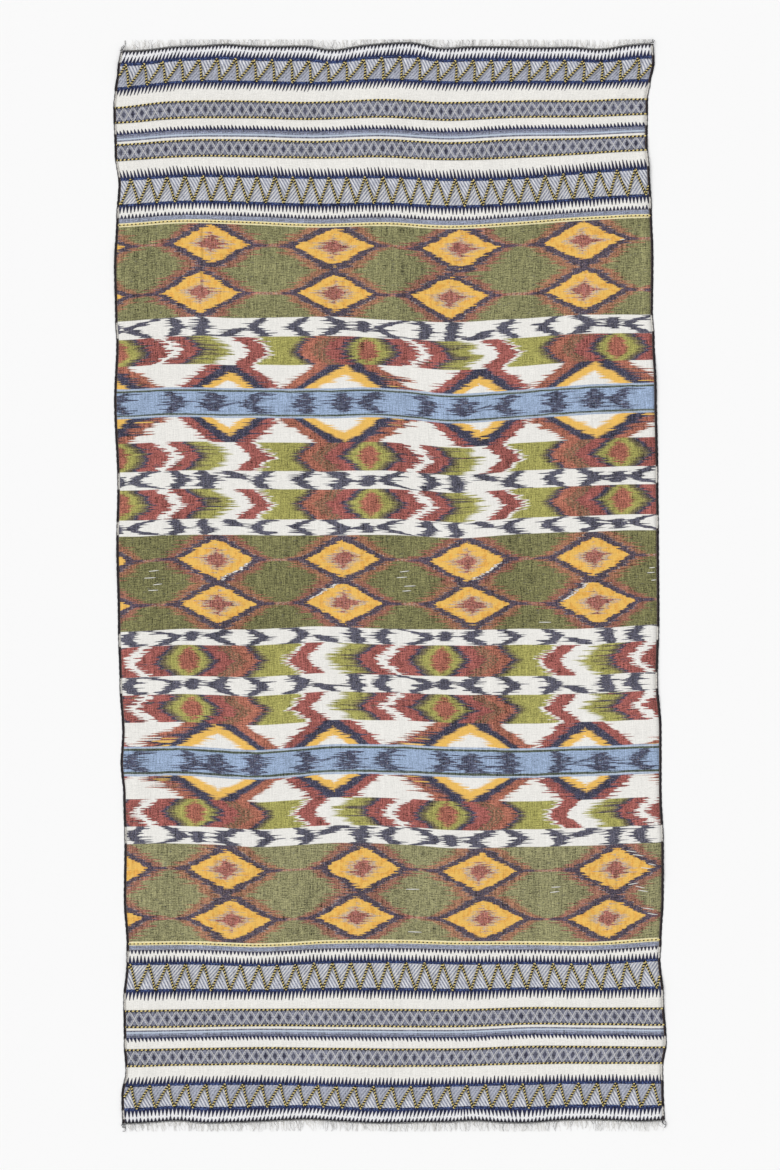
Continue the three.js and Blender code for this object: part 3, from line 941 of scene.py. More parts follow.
    def write_lozenge(self, plan: Plan, dx: Field, dy: Field, shift: Field, long: Field, back: Field,
                      wide: Field, tall: Field, right: Field, left: Field) -> dict[str, Value]:
        """Draws one large lozenge with its rings.

        Args:
            plan: the group's plan.
            dx: the distance across from its middle.
            dy: the distance along from its middle.
            shift, long, back: how far the thread strays, and its feathers to the right and left.
            wide: half the width of the yellow.
            tall: half its height.
            right: how long its dark right tip is.
            left: how long its dark left tip is.

        Returns:
            The masks of its parts, and the distance out from the yellow's edge.
        """
        side = dx > 0.0
        across = abs(dx + shift * 2.0)
        up = abs(dy)
        spike = side.choose(back, long)
        blunt = (across * across + 60.0) ** 0.5 - 4.5
        rough = plan.noise(dx / 5.0, dy / 1.7, 3.0) * 8.0 + shift * 6.0
        edge = blunt + up * (wide / tall) - wide
        yellow = plan.fade(edge - spike * 8.0 + rough + 2.5, 1.6, -1.6)
        core_at = (across - spike * 15.0) / 18.0 + up / 13.0 + rough * 0.05
        core = plan.fade(core_at, 1.15, 0.85)
        rim_at = (across - spike * 17.0) / 30.0 + up / 18.0 + rough * 0.05
        rim = plan.fade(rim_at, 1.25, 0.85)
        whisker = plan.fade(abs(dy - 4.5 - shift), 1.7, 0.7) * plan.fade(abs(dx - 16.0), 20.0, 12.0)
        ring = across + up * 2.0 - up * up * 0.0064 - wide - 20.5
        navy = plan.fade(ring - spike * 14.0 + rough * 1.3, 1.8, -1.8)
        tip = side.choose(left, right)
        thin = plan.fade(up + abs(shift) * 3.0, 4.4, 2.2)
        needle = thin * plan.fade(across - wide - tip - spike * 12.0, 8.0, 2.0)
        far = across + up * 1.9 - up * up * 0.0095 - wide - 35.0
        outer = plan.fade(far - spike * 21.0 + rough * 1.5, 4.0, -4.0)
        fleck = plan.fade(abs(ring - spike * 12.0 + rough), 4.0, 1.5) * plan.fade(up, 3.0, 8.0)
        return {"yellow": yellow, "core": core, "rim": rim, "navy": navy.most(needle),
                "outer": outer, "fleck": fleck, "whisker": whisker, "edge": edge - spike * 8.0 + rough + 1.0}

    def write_field(self, plan: Plan, x: Field, w: Field, along: Field, shift: Field, long: Field,
                    back: Field) -> dict[str, Paint]:
        """Charts a green field with its rows of lozenges.

        Args:
            plan: the group's plan.
            x: the place across, read from the left in the upper half.
            w: the distance along from the middle of the cloth.
            along: the place along the cloth.
            shift, long, back: how far the thread strays, and its feathers to the right and left.

        Returns:
            The colour.
        """
        far = w > 330.0
        last = w > 579.0
        turned = along < MIDDLE
        row = far.choose(turned.choose(42.0, 40.5), last.choose(532.5, 622.0))
        first_x = far.choose(turned.choose(185.0, 183.0), last.choose(160.0, turned.choose(179.5, 173.0)))
        second_x = far.choose(turned.choose(418.0, 413.0), last.choose(410.0, turned.choose(407.0, 401.0)))
        dy = w - row
        shared = {"dy": dy, "shift": shift, "long": long, "back": back}
        one_x = (x - first_x).wrapped(PITCH)
        one = plan.use(self.lozenge, dx=one_x, wide=65.0, tall=last.choose(38.0, 35.5),
                       right=last.choose(22.0, 32.0), left=last.choose(30.0, 18.0), **shared)
        two = plan.use(self.lozenge, dx=(x - second_x).wrapped(PITCH), wide=last.choose(64.0, 68.0),
                       tall=35.5, right=26.0, left=28.0, **shared)
        patch = plan.noise(x / 13.0, along / 1.5, 4.0, detail=2.0)
        green = plan.paint(far, Dye.DEEP_GREEN, plan.paint(turned, Dye.GREEN, Dye.SOFT_GREEN))
        ground = plan.paint(plan.fade(patch, 0.0, 0.26) * 0.6, green, Dye.DARK_GREEN)
        ground = plan.paint(plan.fade(patch, -0.04, -0.26) * 0.5, ground, Dye.YELLOW_GREEN)
        dash = plan.fade(plan.noise(x / 9.0, along / 1.6, 44.0), 0.22, 0.3)
        ground = plan.paint(dash * 0.7, ground, Dye.NAVY)
        line = plan.fade(abs(dy + shift * 2.0), 3.2, 1.2)
        colour = plan.paint(line * 0.75, ground, Dye.RUST)
        dots = line * plan.fade(abs((x + shift * 30.0).wrapped(9.0)), 2.2, 1.0)
        colour = plan.paint(dots * 0.6, colour, Dye.LILAC)
        mixed = plan.fade(plan.noise(x / 3.2, along / 1.6, 64.0, detail=1.0), -0.22, 0.16)
        colour = plan.paint(one["outer"] * (0.45 + 0.45 * mixed), colour, Dye.RED)
        colour = plan.paint(two["outer"] * (0.45 + 0.45 * mixed), colour, Dye.RUST)
        navy = one["navy"].most(two["navy"])
        colour = plan.paint(navy * (0.68 + 0.32 * mixed), colour, Dye.NAVY)
        patchy = plan.fade(plan.noise(x / 5.5, along / 1.8, 8.0), 0.09, 0.16)
        colour = plan.paint(one["fleck"].most(two["fleck"]) * patchy * 0.8, colour, Dye.LILAC)
        streak = plan.fade(plan.noise(x / 9.0, along / 12.0, 27.0, detail=1.0), -0.06, 0.16)
        gold = plan.paint(streak * 0.6, Dye.YELLOW, Dye.ORANGE)
        colour = plan.paint(one["yellow"].most(two["yellow"]), colour, gold)
        pale = plan.fade(plan.noise(x / 6.0, along / 2.0, 15.0, detail=1.0), -0.2, 0.12)
        colour = plan.paint(one["rim"].most(two["rim"]) * (0.2 + 0.7 * pale), colour, Dye.LILAC)
        colour = plan.paint(one["core"].most(two["core"]) * (0.72 + 0.28 * mixed), colour, Dye.RED)
        colour = plan.paint(two["whisker"] * (1.0 - far) * 0.8, colour, Dye.RED)
        lower_right = plan.fade(one_x, 4.0, 12.0) * plan.fade(dy, -3.0, -8.0)
        sliver = plan.fade(abs(one["edge"] - 1.5), 2.6, 1.2) * lower_right
        colour = plan.paint(sliver * (1.0 - far), colour, Dye.WHITE)
        return {"colour": colour}

    def write_middle(self, plan: Plan, x: Field, along: Field) -> dict[str, Paint]:
        """Joins every band of the ikat between the two borders.

        Args:
            plan: the group's plan.
            x: the distance across from the left edge, in millimetres.
            along: the place along the cloth.

        Returns:
            The colour.
        """
        loose = plan.use(self.threads, x=x, along=along)
        turned = along < MIDDLE
        across = turned.choose(x, TURN_SUM - x)
        from_middle = abs(along - MIDDLE) + plan.noise(x / 60.0, along / 200.0, 2.0) * 2.4
        w = from_middle - turned * plan.fade(from_middle, 120.0, 200.0) * 2.2
        second, third, outer_half = w > 140.0, w > 188.0, w > 330.5
        q_inner = second.choose((CHEVRON_ONE - w) / 29.5, (CHEVRON_TWO - w) / 33.5)
        q = outer_half.choose(q_inner, (w - WHITE_THREE) / 34.8)
        moved = outer_half.choose(second.choose(-0.5, 1.5), -1.5)
        marks = plan.use(self.small, x=across - moved, q=q, **loose)["mask"]
        white = plan.paint(marks * 0.95, Dye.WHITE, Dye.NAVY)
        centre = third.choose(144.2, outer_half.choose(231.7, 426.7))
        half = third.choose(27.8, outer_half.choose(26.3, 25.8))
        depth = outer_half.choose(w - TENTS_IN, CHEVRON_THREE - w)
        made = (plan.use(self.chevrons, x=across - third.choose(6.2, 3.5), t=(w - centre) / half, **loose),
                plan.use(self.tents, x=across - 1.5, depth=depth, **loose),
                plan.use(self.blue, x=across - 1.5, q=(w - BLUE_BAND) / (TENTS_OUT - BLUE_BAND), **loose),
                plan.use(self.field, x=across, w=from_middle, along=along, **loose))
        chevrons, tents, blue, green = (band["colour"].socket for band in made)
        colour = green
        for start, band in ((WHITE_ONE, white), (CHEVRON_ONE, chevrons), (WHITE_TWO, white),
                            (CHEVRON_TWO, chevrons), (TENTS_IN, tents), (BLUE_BAND, blue),
                            (TENTS_OUT, tents), (CHEVRON_THREE, chevrons), (WHITE_THREE, white)):
            colour = plan.paint(plan.fade(w, start - BLEED, start + BLEED), colour, band)
        far = plan.fade(from_middle, FAR_FIELD - BLEED, FAR_FIELD + BLEED)
        return {"colour": plan.paint(far, colour, green)}


# A border from the cloth's end inwards: where each plain stripe begins, and its colour.
STRIPES: list[Stop] = [
    (0, Dye.BLACK), (0.9, Dye.FROST), (62.0, Dye.WHITE), (97.0, Dye.GREY), (130.0, Dye.WHITE),
    (154.0, Dye.STEEL), (158.5, Dye.PALE_BLUE), (161.8, Dye.WHITE), (168.5, Dye.GREY), (202.0, Dye.WHITE),
    (312.5, Dye.STEEL), (320.5, Dye.CREAM), (328.5, Dye.GREEN)]

# The inked lines of a border, middle and half width, and its raised parts, from and to.
INK_LINES: list[Row] = [(23.0, 2.7), (61.7, 2.5), (152.8, 2.4), (237.9, 2.6), (286.9, 2.6)]
RAISED: list[Row] = [
    (-9.0, 4.4), (20.0, 67.0), (96.0, 130.5), (168.0, 203.0), (234.5, 290.5), (312.5, 999.0)]


class Brocade:
    """The woven borders at both ends of the cloth: combs, hatches, lozenges and lines."""

    def __init__(self) -> None:
        """Writes the groups."""
        self.comb = Group("comb_teeth", "x rise height lean phase", "mask", self.write_comb)
        self.lattice = Group("small_lozenges", "x q", "colour", self.write_lattice)
        self.hatch = Group("twill_hatch", "x q high outer way", "colour", self.write_hatch)
        self.border = Group("border", "x d along", "colour relief", self.write_border)

    def write_comb(self, plan: Plan, x: Field, rise: Field, height: Field, lean: Field,
                   phase: Field) -> dict[str, Value]:
        """Draws a comb of teeth that narrow to their tips.

        Args:
            plan: the group's plan.
            x: the place across.
            rise: the distance from the comb's back to the tips.
            height: how long the teeth are.
            lean: how far a tip leans over, per millimetre.
            phase: how far the comb is moved across.

        Returns:
            The mask of the teeth.
        """
        number = ((x - phase) / COMB + 0.5).floor()
        tall = height * (0.86 + 0.28 * plan.chance(number * 1.9 + height))
        off = abs((x - phase - lean * rise).wrapped(COMB))
        wide = (1.0 - rise / tall).most(0.0)
        reach = wide * 2.7 + (wide > 0.02) * 0.6
        return {"mask": plan.fade(off - reach, 0.5, -0.5) * (rise > -0.5) * (wide > 0.0)}

    def write_lattice(self, plan: Plan, x: Field, q: Field) -> dict[str, Paint]:
        """Charts the band of small lozenges.

        Args:
            plan: the group's plan.
            x: the place across.
            q: the place through the band, 0 to 1.

        Returns:
            The colour.
        """
        up = abs(q - 0.5) * 2.0
        number = (x / LOZENGE + 0.5).floor()
        off = abs(x.wrapped(LOZENGE)) / (LOZENGE / 2)
        body = off + up * 0.86
        colour = plan.paint(plan.fade(abs(body - 1.0), 0.13, 0.06) * 0.58, Dye.GREY, Dye.WHITE)
        colour = plan.paint(plan.fade(abs(body - 0.7), 0.09, 0.04) * 0.35, colour, Dye.WHITE)
        depth = 0.55 + 0.45 * plan.chance(number)
        colour = plan.paint(plan.fade(body, 0.55, 0.36) * depth, colour, Dye.SLATE)
        edge = abs((x + LOZENGE / 4).wrapped(LOZENGE / 2)) / (LOZENGE / 4)
        colour = plan.paint(plan.fade(edge + (1.0 - up) * 2.4, 0.8, 0.5) * 0.85, colour, Dye.SLATE)
        return {"colour": colour}

    def write_hatch(self, plan: Plan, x: Field, q: Field, high: Field, outer: Field,
                    way: Field) -> dict[str, Paint]:
        """Charts the twill between the zigzags: bright hatches one way, faint ones the other.

        Args:
            plan: the group's plan.
            x: the place across, from a lower tip of the zigzag.
            q: the place through the band, from 0 at its upper edge to 1.
            high: the band's height.
            outer: how far its outer tips lean over.
            way: 1 or -1, which way the hatches lean.

        Returns:
            The colour.
        """
        off = (x - outer * (1.0 - q)).wrapped(ZIGZAG)
        open_up = plan.fade(abs(off) - (1.0 - q) * ZIGZAG / 2, 0.7, -0.7)
        lean = q * high * way
        back = ((x - lean * 0.6) % 6.0) / 6.0
        forth = ((x + lean * 0.8) % 6.4) / 6.4
        worn = 0.75 + plan.noise(x / 7.0, q * 3.0, 3.0) * 0.9
        bright = plan.paint(plan.fade(abs(back - 0.5), 0.32, 0.16) * worn, Dye.TWILL, Dye.FROST)
        light = plan.fade(abs(forth - 0.5), 0.32, 0.14)
        dull = plan.paint(light * 0.4 * worn, Dye.TWILL, Dye.FROST)
        pale = plan.paint(light * 0.95 * worn, Dye.TWILL, Dye.WHITE)
        return {"colour": plan.paint(open_up, plan.paint(outer * outer > 1.0, pale, dull), bright)}

    def write_border(self, plan: Plan, x: Field, d: Field, along: Field) -> dict[str, Value | Paint]:
        """Joins the lines and bands of a border from the cloth's end inwards.

        Args:
            plan: the group's plan.
            x: the place across.
            d: the distance in from the cloth's end.
            along: the place along the cloth.

        Returns:
            The colour, and how far the woven lines stand up.
        """
        upper = along > 0.0
        lattice_one = plan.use(self.lattice, x=x - 3.0, q=(d - 100.5) / 26.0)
        lattice_two = plan.use(self.lattice, x=x + 5.0, q=(d - 172.5) / 26.0)
        way = upper.choose(-1.0, 1.0)
        bent = plan.fade(x, 30.0, 240.0) * 0.34 - plan.fade(abs(x - 672.0), 75.0, 35.0) * 0.34
        slant = upper.choose(bent - plan.fade(x, 600.0, 640.0) * 0.14, -0.24)
        outer = plan.use(self.hatch, x=x - upper.choose(17.4, 26.7), q=(d - 25.5) / 33.5, high=33.0,
                         outer=upper.choose(-7.0, 6.0 + x * 0.0055), way=way)
        inner = plan.use(self.hatch, x=x - upper.choose(7.5, 7.2), q=(d - 240.5) / 43.5, high=42.5,
                         outer=0.0, way=way)
        colour = plan.ramp(d, 330.0, STRIPES, 0.0)
        for start, end, paint in ((100.5, 126.5, lattice_one), (172.5, 198.5, lattice_two),
                                  (25.5, 59.0, outer), (240.5, 284.0, inner)):
            colour = plan.paint((d > start) * (d < end), colour, paint["colour"].socket)
        mottle = plan.fade(plan.noise(x / 2.6, d / 2.6, 57.0), -0.06, 0.1)
        ink = plan.paint(mottle, Dye.INK, Dye.BLUE_INK)
        uneven = d + plan.noise(x / 3.4, 19.0) * 1.8
        for centre, half in INK_LINES:
            colour = plan.paint(plan.fade(abs(uneven - centre), half + 0.6, half - 0.6), colour, ink)
        colour = plan.paint(plan.fade(abs(d - 163.0), 1.7, 1.1), colour, Dye.GREY)
        twill = plan.fade(abs(((x * 0.9 + d * 2.2) % 2.9) - 1.45), 1.3, 0.5)
        in_twill = ((d > 313.0) * (d < 320.5)).most((d > 149.0) * (d < 158.0))
        colour = plan.paint(twill * in_twill * 0.5, colour, Dye.PALE_GREY)
        combs = ((0.9, 1.0, 7.0, slant, 0.0, Dye.BLACK),
                 (20.6, -1.0, 11.0, slant * -1.0, slant * 19.7, Dye.INK),
                 (64.0, 1.0, 13.0, upper.choose(0.0, -0.3), 1.0, Dye.INK),
                 (150.8, -1.0, 8.0, upper.choose(0.25, -0.25), 0.0, Dye.INK),
                 (235.6, -1.0, 16.0, -0.1, 0.0, Dye.INK), (289.3, 1.0, 12.5, 0.0, 0.5, Dye.INK),
                 (312.5, -1.0, 7.5, 0.0, 3.9, Dye.NAVY))
        for back, way, height, lean, phase, dye in combs:
            rise = (d - back) * way
            mask = plan.use(self.comb, x=x, rise=rise, height=height, lean=lean, phase=phase)["mask"]
            tip = plan.paint(plan.fade(rise, 0.0, height * 0.6), dye, Dye.SLATE)
            colour = plan.paint(mask, colour, tip)
        relief: Value = 0.0
        for start, end in RAISED:
            relief = (d > start) * (d < end) + relief
        return {"colour": colour, "relief": relief}


class Cotton:
    """A material being made: a matt surface with its colour and the relief of its threads."""

    def __init__(self, name: str, roughness: float) -> None:
        """Makes the material.

        Args:
            name: its name.
            roughness: its roughness.
        """
        self.material = bpy.data.materials.new(name)
        self.material.use_nodes = True
        self.plan = Plan(self.material.node_tree)
        self.shader = self.material.node_tree.nodes["Principled BSDF"]
        self.shader.inputs["Roughness"].default_value = roughness
        self.shader.inputs["Specular IOR Level"].default_value = MATT

    def flat(self) -> tuple[Field, Field]:
        """Gives the places across and along the flat cloth."""
        across, along, _ = self.plan.in_mm(self.plan.node("ShaderNodeUVMap", uv_map="Weave").outputs[0])
        return across, along

    def laid(self) -> list[Field]:
        """Gives the place of a point as the cloth lies."""
        return self.plan.in_mm(self.plan.node("ShaderNodeTexCoord").outputs["Object"])

    def done(self, colour: Paint, height: Field, strength: float = 0.5) -> bpy.types.Material:
        """Gives the surface its colour and relief.

        Args:
            colour: the colour.
            height: how far threads stand up, in millimetres.
            strength: how strongly that shows.

        Returns:
            The material.
        """
        bump = self.plan.node("ShaderNodeBump")
        self.plan.feed(bump.inputs["Strength"], strength)
        self.plan.feed(bump.inputs["Distance"], MM)
        self.plan.feed(bump.inputs["Height"], height)
        self.plan.feed(self.shader.inputs["Normal"], bump.outputs[0])
        self.plan.feed(self.shader.inputs["Base Color"], colour)
        return self.material


@dataclass(frozen=True)
class ClothFinish:
    """Plain-woven cotton: dyed wefts over a fine warp, with slubs and a soft hand, and painted shade along
    its pressed lines.
    """

    name: str = "ikat_cotton"
    weft: float = 0.62
    warp: float = 0.74
    roughness: float = 0.86
    sheen: float = 0.12
    # how much the pressed lines darken the colour towards black: painted shade in the creases
    crease: float = 0.16

    def make(self, ikat: Ikat, brocade: Brocade) -> bpy.types.Material:
        """Builds the material.

        Args:
            ikat: the groups of the dyed middle.
            brocade: the groups of the borders.

        Returns:
            The material.
        """
        cotton = Cotton(self.name, self.roughness)
        plan = cotton.plan
        plan.feed(cotton.shader.inputs["Sheen Weight"], self.sheen)
        x, along = cotton.flat()
        d = BORDER_SUM - abs(along - BORDER_MIDDLE)
        d = d + (HEM_DEEP - d).most(0.0) * (along < 0.0) * NEAR_STRETCH
        in_border = d < BORDER_DEEP
        border = plan.use(brocade.border, x=x, d=d, along=along)
        middle = plan.use(ikat.middle, x=x, along=along)["colour"].socket
        cloth = self.spun(plan, plan.paint(in_border, middle, border["colour"].socket), x, along,
                          d > BORDER_DEEP)
        under = plan.maths("SINE", along * (math.pi / self.weft))
        over = plan.maths("SINE", x * (math.pi / self.warp)) * under
        slub = plan.noise(x / 18.0, along / 0.9, 21.0)
        crinkle = plan.noise(x / 7.0, along / 15.0, 31.0, detail=2.0)
        height = over * 0.10 + slub * 0.16 + crinkle * 0.6 + border["relief"] * in_border * 0.35
        grooves = self.pressed(plan, *cotton.laid()[:2])
        # Painted shade: the colour is darkened towards black along the pressed lines, where shade falls in
        # the creases.
        cloth = plan.paint(grooves * grooves * self.crease, cloth, Dye.BLACK)
        return cotton.done(cloth, height - grooves * 2.5, 0.55)

    def spun(self, plan: Plan, cloth: Paint, x: Field, along: Field,
             dyed_weft: Field) -> bpy.types.NodeSocket:
        """Gives the colour the unevenness of hand-spun, hand-dyed yarn: dark threads vary most.

        Args:
            plan: the material's plan.
            cloth: the colour of the pattern.
            x: the place across.
            along: the place along.
            dyed_weft: 1 where the ikat is, where pale specks show in the dark.

        Returns:
            The colour.
        """
        melange = plan.noise(x / 2.6, along / 2.2, 1.0)
        wefts = plan.noise(x / 16.0, along / 1.5, 5.0)
        warps = plan.noise(x / 1.7, along / 24.0, 9.0)
        ends = plan.noise(x / 6.0, along / 420.0, 14.0)
        broad = plan.noise(x / 95.0, along / 160.0, 12.0)
        bright = Field(plan, plan.fed(plan.node("ShaderNodeRGBToBW"), cloth).outputs[0])
        dyed = plan.fade(bright, 0.56, 0.16) * 0.86 + 0.14
        tone = melange * 1.7 + wefts * 1.3 + warps * 1.3 + ends * 0.4 + broad * 0.4
        shade = tone * dyed + 1.0
        speck = plan.fade(plan.noise(x / 1.8, along / 2.6, 77.0), 0.1, 0.3) * plan.fade(bright, 0.14, 0.06)
        cloth = plan.paint(speck * 0.4 * dyed_weft, cloth, Dye.LILAC)
        return plan.shaded(cloth, shade)

    def pressed(self, plan: Plan, x: Field, y: Field) -> Field:
        """Gives the depth of the sharp pressed lines, which sinks the bump and sets the painted shade along
        them.

        Args:
            plan: the material's plan.
            x: the place across, as laid.
            y: the place along, as laid.

        Returns:
            The depth.
        """
        grooves: Field | None = None
        wander = plan.noise(y / 60.0, 8.0) * 9.0
        for at_x, at_y, long, half, deep in PRESSED:
            groove = plan.fade(abs(x + wander - at_x), half, 0.0)
            groove = groove * plan.fade(abs(y - at_y), long * 0.5, long * 0.3, full=deep)
            grooves = groove if grooves is None else grooves.most(groove)
        return grooves


# Undyed bands at the selvedge: from and to, along from the middle, and from and to, in from the ends.
PALE_BANDS: list[Row] = [(90, 115), (174, 204), (455, 486)]
PALE_BORDERS: list[Row] = [(3, 20), (66, 97), (130, 150), (202, 234), (290, 311)]


@dataclass(frozen=True)
class SelvedgeFinish:
    """Packed black warp with the wefts of each band showing at its inner side."""

    name: str = "selvedge_cotton"
    roughness: float = 0.84

    def make(self) -> bpy.types.Material:
        """Builds the material.

        Returns:
            The material.
        """
        cotton = Cotton(self.name, self.roughness)
        plan = cotton.plan
        inset, along = cotton.flat()
        pale: Field | None = None
        for place, bands in ((abs(along - MIDDLE), PALE_BANDS),
                             (BORDER_SUM - abs(along - BORDER_MIDDLE), PALE_BORDERS)):
            for start, end in bands:
                here = plan.fade(place, start - 1.0, start + 2.0) * plan.fade(place, end + 1.0, end - 2.0)
                pale = here if pale is None else pale.most(here)
        thread = plan.chance((along / 1.4).floor()) - 0.5
        inner = plan.fade(inset + thread * 1.4, 2.0, 3.2)
        warm = plan.fade(inset + thread, 2.6, 4.6) * 0.6
        colour = plan.paint(warm, Dye.BLACK, Dye.BROWN)
        colour = plan.paint(inner * pale * 0.9, colour, Dye.UNDYED)
        colour = plan.paint(pale * (1.0 - inner) * 0.35, colour, Dye.ASH)
        return cotton.done(colour, plan.maths("SINE", along * 4.2) * 0.15 + thread * 0.1)


@dataclass(frozen=True)
class YarnFinish:
    """A spun cotton yarn of one dye, with the slanting lines of its twist."""

    name: str
    dye: Dye
    roughness: float = 0.82
    twist: float = 1.4
    variation: float = 0.3

    def make(self) -> bpy.types.Material:
        """Builds the material.

        Returns:
            The material.
        """
        cotton = Cotton(self.name, self.roughness)
        plan = cotton.plan
        x, y, z = cotton.laid()
        fuzz = plan.noise(x / 0.8, y / 0.8, z / 0.8, detail=2.0)
        broad = plan.noise(x / 14.0, y / 14.0, 3.0)
        shade = 1.0 + fuzz * self.variation + broad * self.variation
        lines = plan.maths("SINE", (x + y * 0.7 + z) * (2 * math.pi / self.twist))
        return cotton.done(plan.shaded(self.dye, shade), lines * 0.12 + fuzz * 0.2)


def select_only(piece: bpy.types.Object) -> None:
    """Selects one piece and makes it active."""
    bpy.ops.object.select_all(action="DESELECT")
    piece.select_set(True)
    bpy.context.view_layer.objects.active = piece


def from_points(name: str, points: np.ndarray, faces: list[tuple[int, ...]]) -> bpy.types.Object:
    """Makes a piece from points in millimetres and faces.

    Args:
        name: the piece's name.
        points: the points, one a row.
        faces: the corners of each face.

    Returns:
        The piece, at the origin.
    """
    mesh = bpy.data.meshes.new(name)
    mesh.from_pydata((points * MM).tolist(), [], faces)
    mesh.update()
    piece = bpy.data.objects.new(name, mesh)
    bpy.context.scene.collection.objects.link(piece)
    return piece


def read(items: bpy.types.bpy_prop_collection, key: str, width: int = 1, kind: type = float) -> np.ndarray:
    """Reads one property of all of a mesh's vertices, corners or faces.

    Args:
        items: the vertices, corners or faces.
        key: the property.
        width: how many numbers it has.
        kind: the kind of number.

    Returns:
        The numbers, with a row for each item where there is more than one.
    """
    values = np.empty(len(items) * width, dtype=kind)
    items.foreach_get(key, values)
    return values if width == 1 else values.reshape(-1, width)


def unwrap(mesh: bpy.types.Mesh, layer: str, places: np.ndarray) -> None:
    """Lays a mesh out flat.

    Args:
        mesh: the mesh.
        layer: the name of the map.
        places: where each vertex goes, two numbers a row.
    """
    corners = read(mesh.loops, "vertex_index", kind=int)
    mesh.uv_layers.new(name=layer).data.foreach_set("uv", places[corners].ravel())


def ring_faces(first: int, sides: int, count: int) -> list[tuple[int, ...]]:
    """Gives the faces of a closed tube whose points are numbered along one side after another.

    Args:
        first: the number of its first point.
        sides: how many sides it has.
        count: how many points each side has.

    Returns:
        The faces, with one at each end.
    """
    starts = [first + k * count for k in range(sides)]
    faces: list[tuple[int, ...]] = []
    for a, b in zip(starts, starts[1:] + starts[:1]):
        faces.extend((a + i, a + i + 1, b + i + 1, b + i) for i in range(count - 1))
    faces.append(tuple(starts))
    faces.append(tuple(start + count - 1 for start in reversed(starts)))
    return faces


def face_outwards(piece: bpy.types.Object) -> None:
    """Turns every face of a closed piece outwards."""
    select_only(piece)
    bpy.ops.object.mode_set(mode="EDIT")
    bpy.ops.mesh.select_all(action="SELECT")
    bpy.ops.mesh.normals_make_consistent(inside=False)
    bpy.ops.object.mode_set(mode="OBJECT")


def dress(piece: bpy.types.Object, finish: bpy.types.Material) -> bpy.types.Object:
    """Smooths a piece, gives it its finish and sets it on the scarf's one body.

    Args:
        piece: the piece.
        finish: its material.

    Returns:
        The piece.
    """
    piece.data.polygons.foreach_set("use_smooth", [True] * len(piece.data.polygons))
    piece.data.materials.append(finish)
    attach(piece, "root")
    log.info("%s: %d faces", piece.name, len(piece.data.polygons))
    return piece


@dataclass
class Tubes:
    """Many thin round yarns in one mesh, with closed ends."""

    sides: int = 4
    points: list[np.ndarray] = field(default_factory=list)
    faces: list[tuple[int, ...]] = field(default_factory=list)
    count: int = 0

    def add(self, line: np.ndarray, radius: np.ndarray | float, flat: float = 1.0) -> None:
        """Adds one yarn.

        Args:
            line: the points of its middle line, in millimetres.
            radius: its radius at each point.
            flat: how high it is for its width.
        """
        n = len(line)
        along = np.gradient(line, axis=0)
        along /= np.maximum(np.linalg.norm(along, axis=1, keepdims=True), 1e-9)
        side = np.cross(along, np.array([0.0, 0.0, 1.0]))
        side /= np.maximum(np.linalg.norm(side, axis=1, keepdims=True), 1e-9)
        up = np.cross(side, along)
        r = np.broadcast_to(np.asarray(radius, dtype=float), (n,))[:, None]
        for k in range(self.sides):
            a = 2 * math.pi * (k + 0.5) / self.sides
            self.points.append(line + side * r * math.cos(a) + up * r * flat * math.sin(a))
        self.faces.extend(ring_faces(self.count, self.sides, n))
        self.count += n * self.sides

    def make(self, name: str, finish: bpy.types.Material, slot: str) -> bpy.types.Object:
        """Makes the piece.

        Args:
            name: its name.
            finish: its material.
            slot: not used.

        Returns:
            The piece.
        """
        piece = from_points(name, np.concatenate(self.points), self.faces)
        face_outwards(piece)
        return dress(piece, finish)


@dataclass
class Panel:
    """The woven panel between the selvedges and the hem lines, as a thin laid shell."""

    lay: Lay
    columns: int = 138
    rows: int = 272
    inset: float = SELVEDGE_WIDE + GAP
    thick: float = CLOTH_THICK

    def build(self, finish: bpy.types.Material) -> bpy.types.Object:
        """Builds and dresses the panel.

        Args:
            finish: the cloth's material.

        Returns:
            The panel.
        """
        bpy.ops.object.select_all(action="DESELECT")
        bpy.ops.mesh.primitive_grid_add(x_subdivisions=self.columns, y_subdivisions=self.rows, size=1.0)
        panel = bpy.context.object
        panel.name = panel.data.name = "ikat_cloth"
        mesh = panel.data
        grid = read(mesh.vertices, "co", 3)[:, :2] + 0.5
        share = grid[:, 0]
        y = BOTTOM_END + (TOP_END - BOTTOM_END) * grid[:, 1]
        points = self.lay.place(y, share, self.inset)
        points[:, 2] += self.thick
        mesh.vertices.foreach_set("co", (points * MM).ravel())
        for old in list(mesh.uv_layers):
            mesh.uv_layers.remove(old)
        unwrap(mesh, "Weave", np.stack([self.lay.flat_x(y, share, self.inset), y], axis=1) * MM)
        unwrap(mesh, "OFBake", np.stack([0.01 + 0.48 * share, 0.01 + 0.98 * grid[:, 1]], axis=1))
        select_only(panel)
        solid = panel.modifiers.new("wall", "SOLIDIFY")
        solid.thickness = self.thick * MM
        solid.offset = -1.0
        solid.use_even_offset = False
        bpy.ops.object.modifier_apply(modifier=solid.name)
        self.part_bake(mesh)
        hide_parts("cloth")
        return dress(panel, finish)

    def part_bake(self, mesh: bpy.types.Mesh) -> None:
        """Gives the underside its own half of the baked sheet, and keeps it at or above the surface."""
        down = read(mesh.polygons, "normal", 3)[:, 2] < 0
        totals = read(mesh.polygons, "loop_total", kind=int)
        sheet = mesh.uv_layers["OFBake"].data
        spread = read(sheet, "uv", 2)
        spread[:, 0] += 0.5 * np.repeat(down, totals)
        sheet.foreach_set("uv", spread.ravel())
        points = read(mesh.vertices, "co", 3)
        points[:, 2] = np.maximum(points[:, 2], 0.0)
        mesh.vertices.foreach_set("co", points.ravel())
        mesh.update()


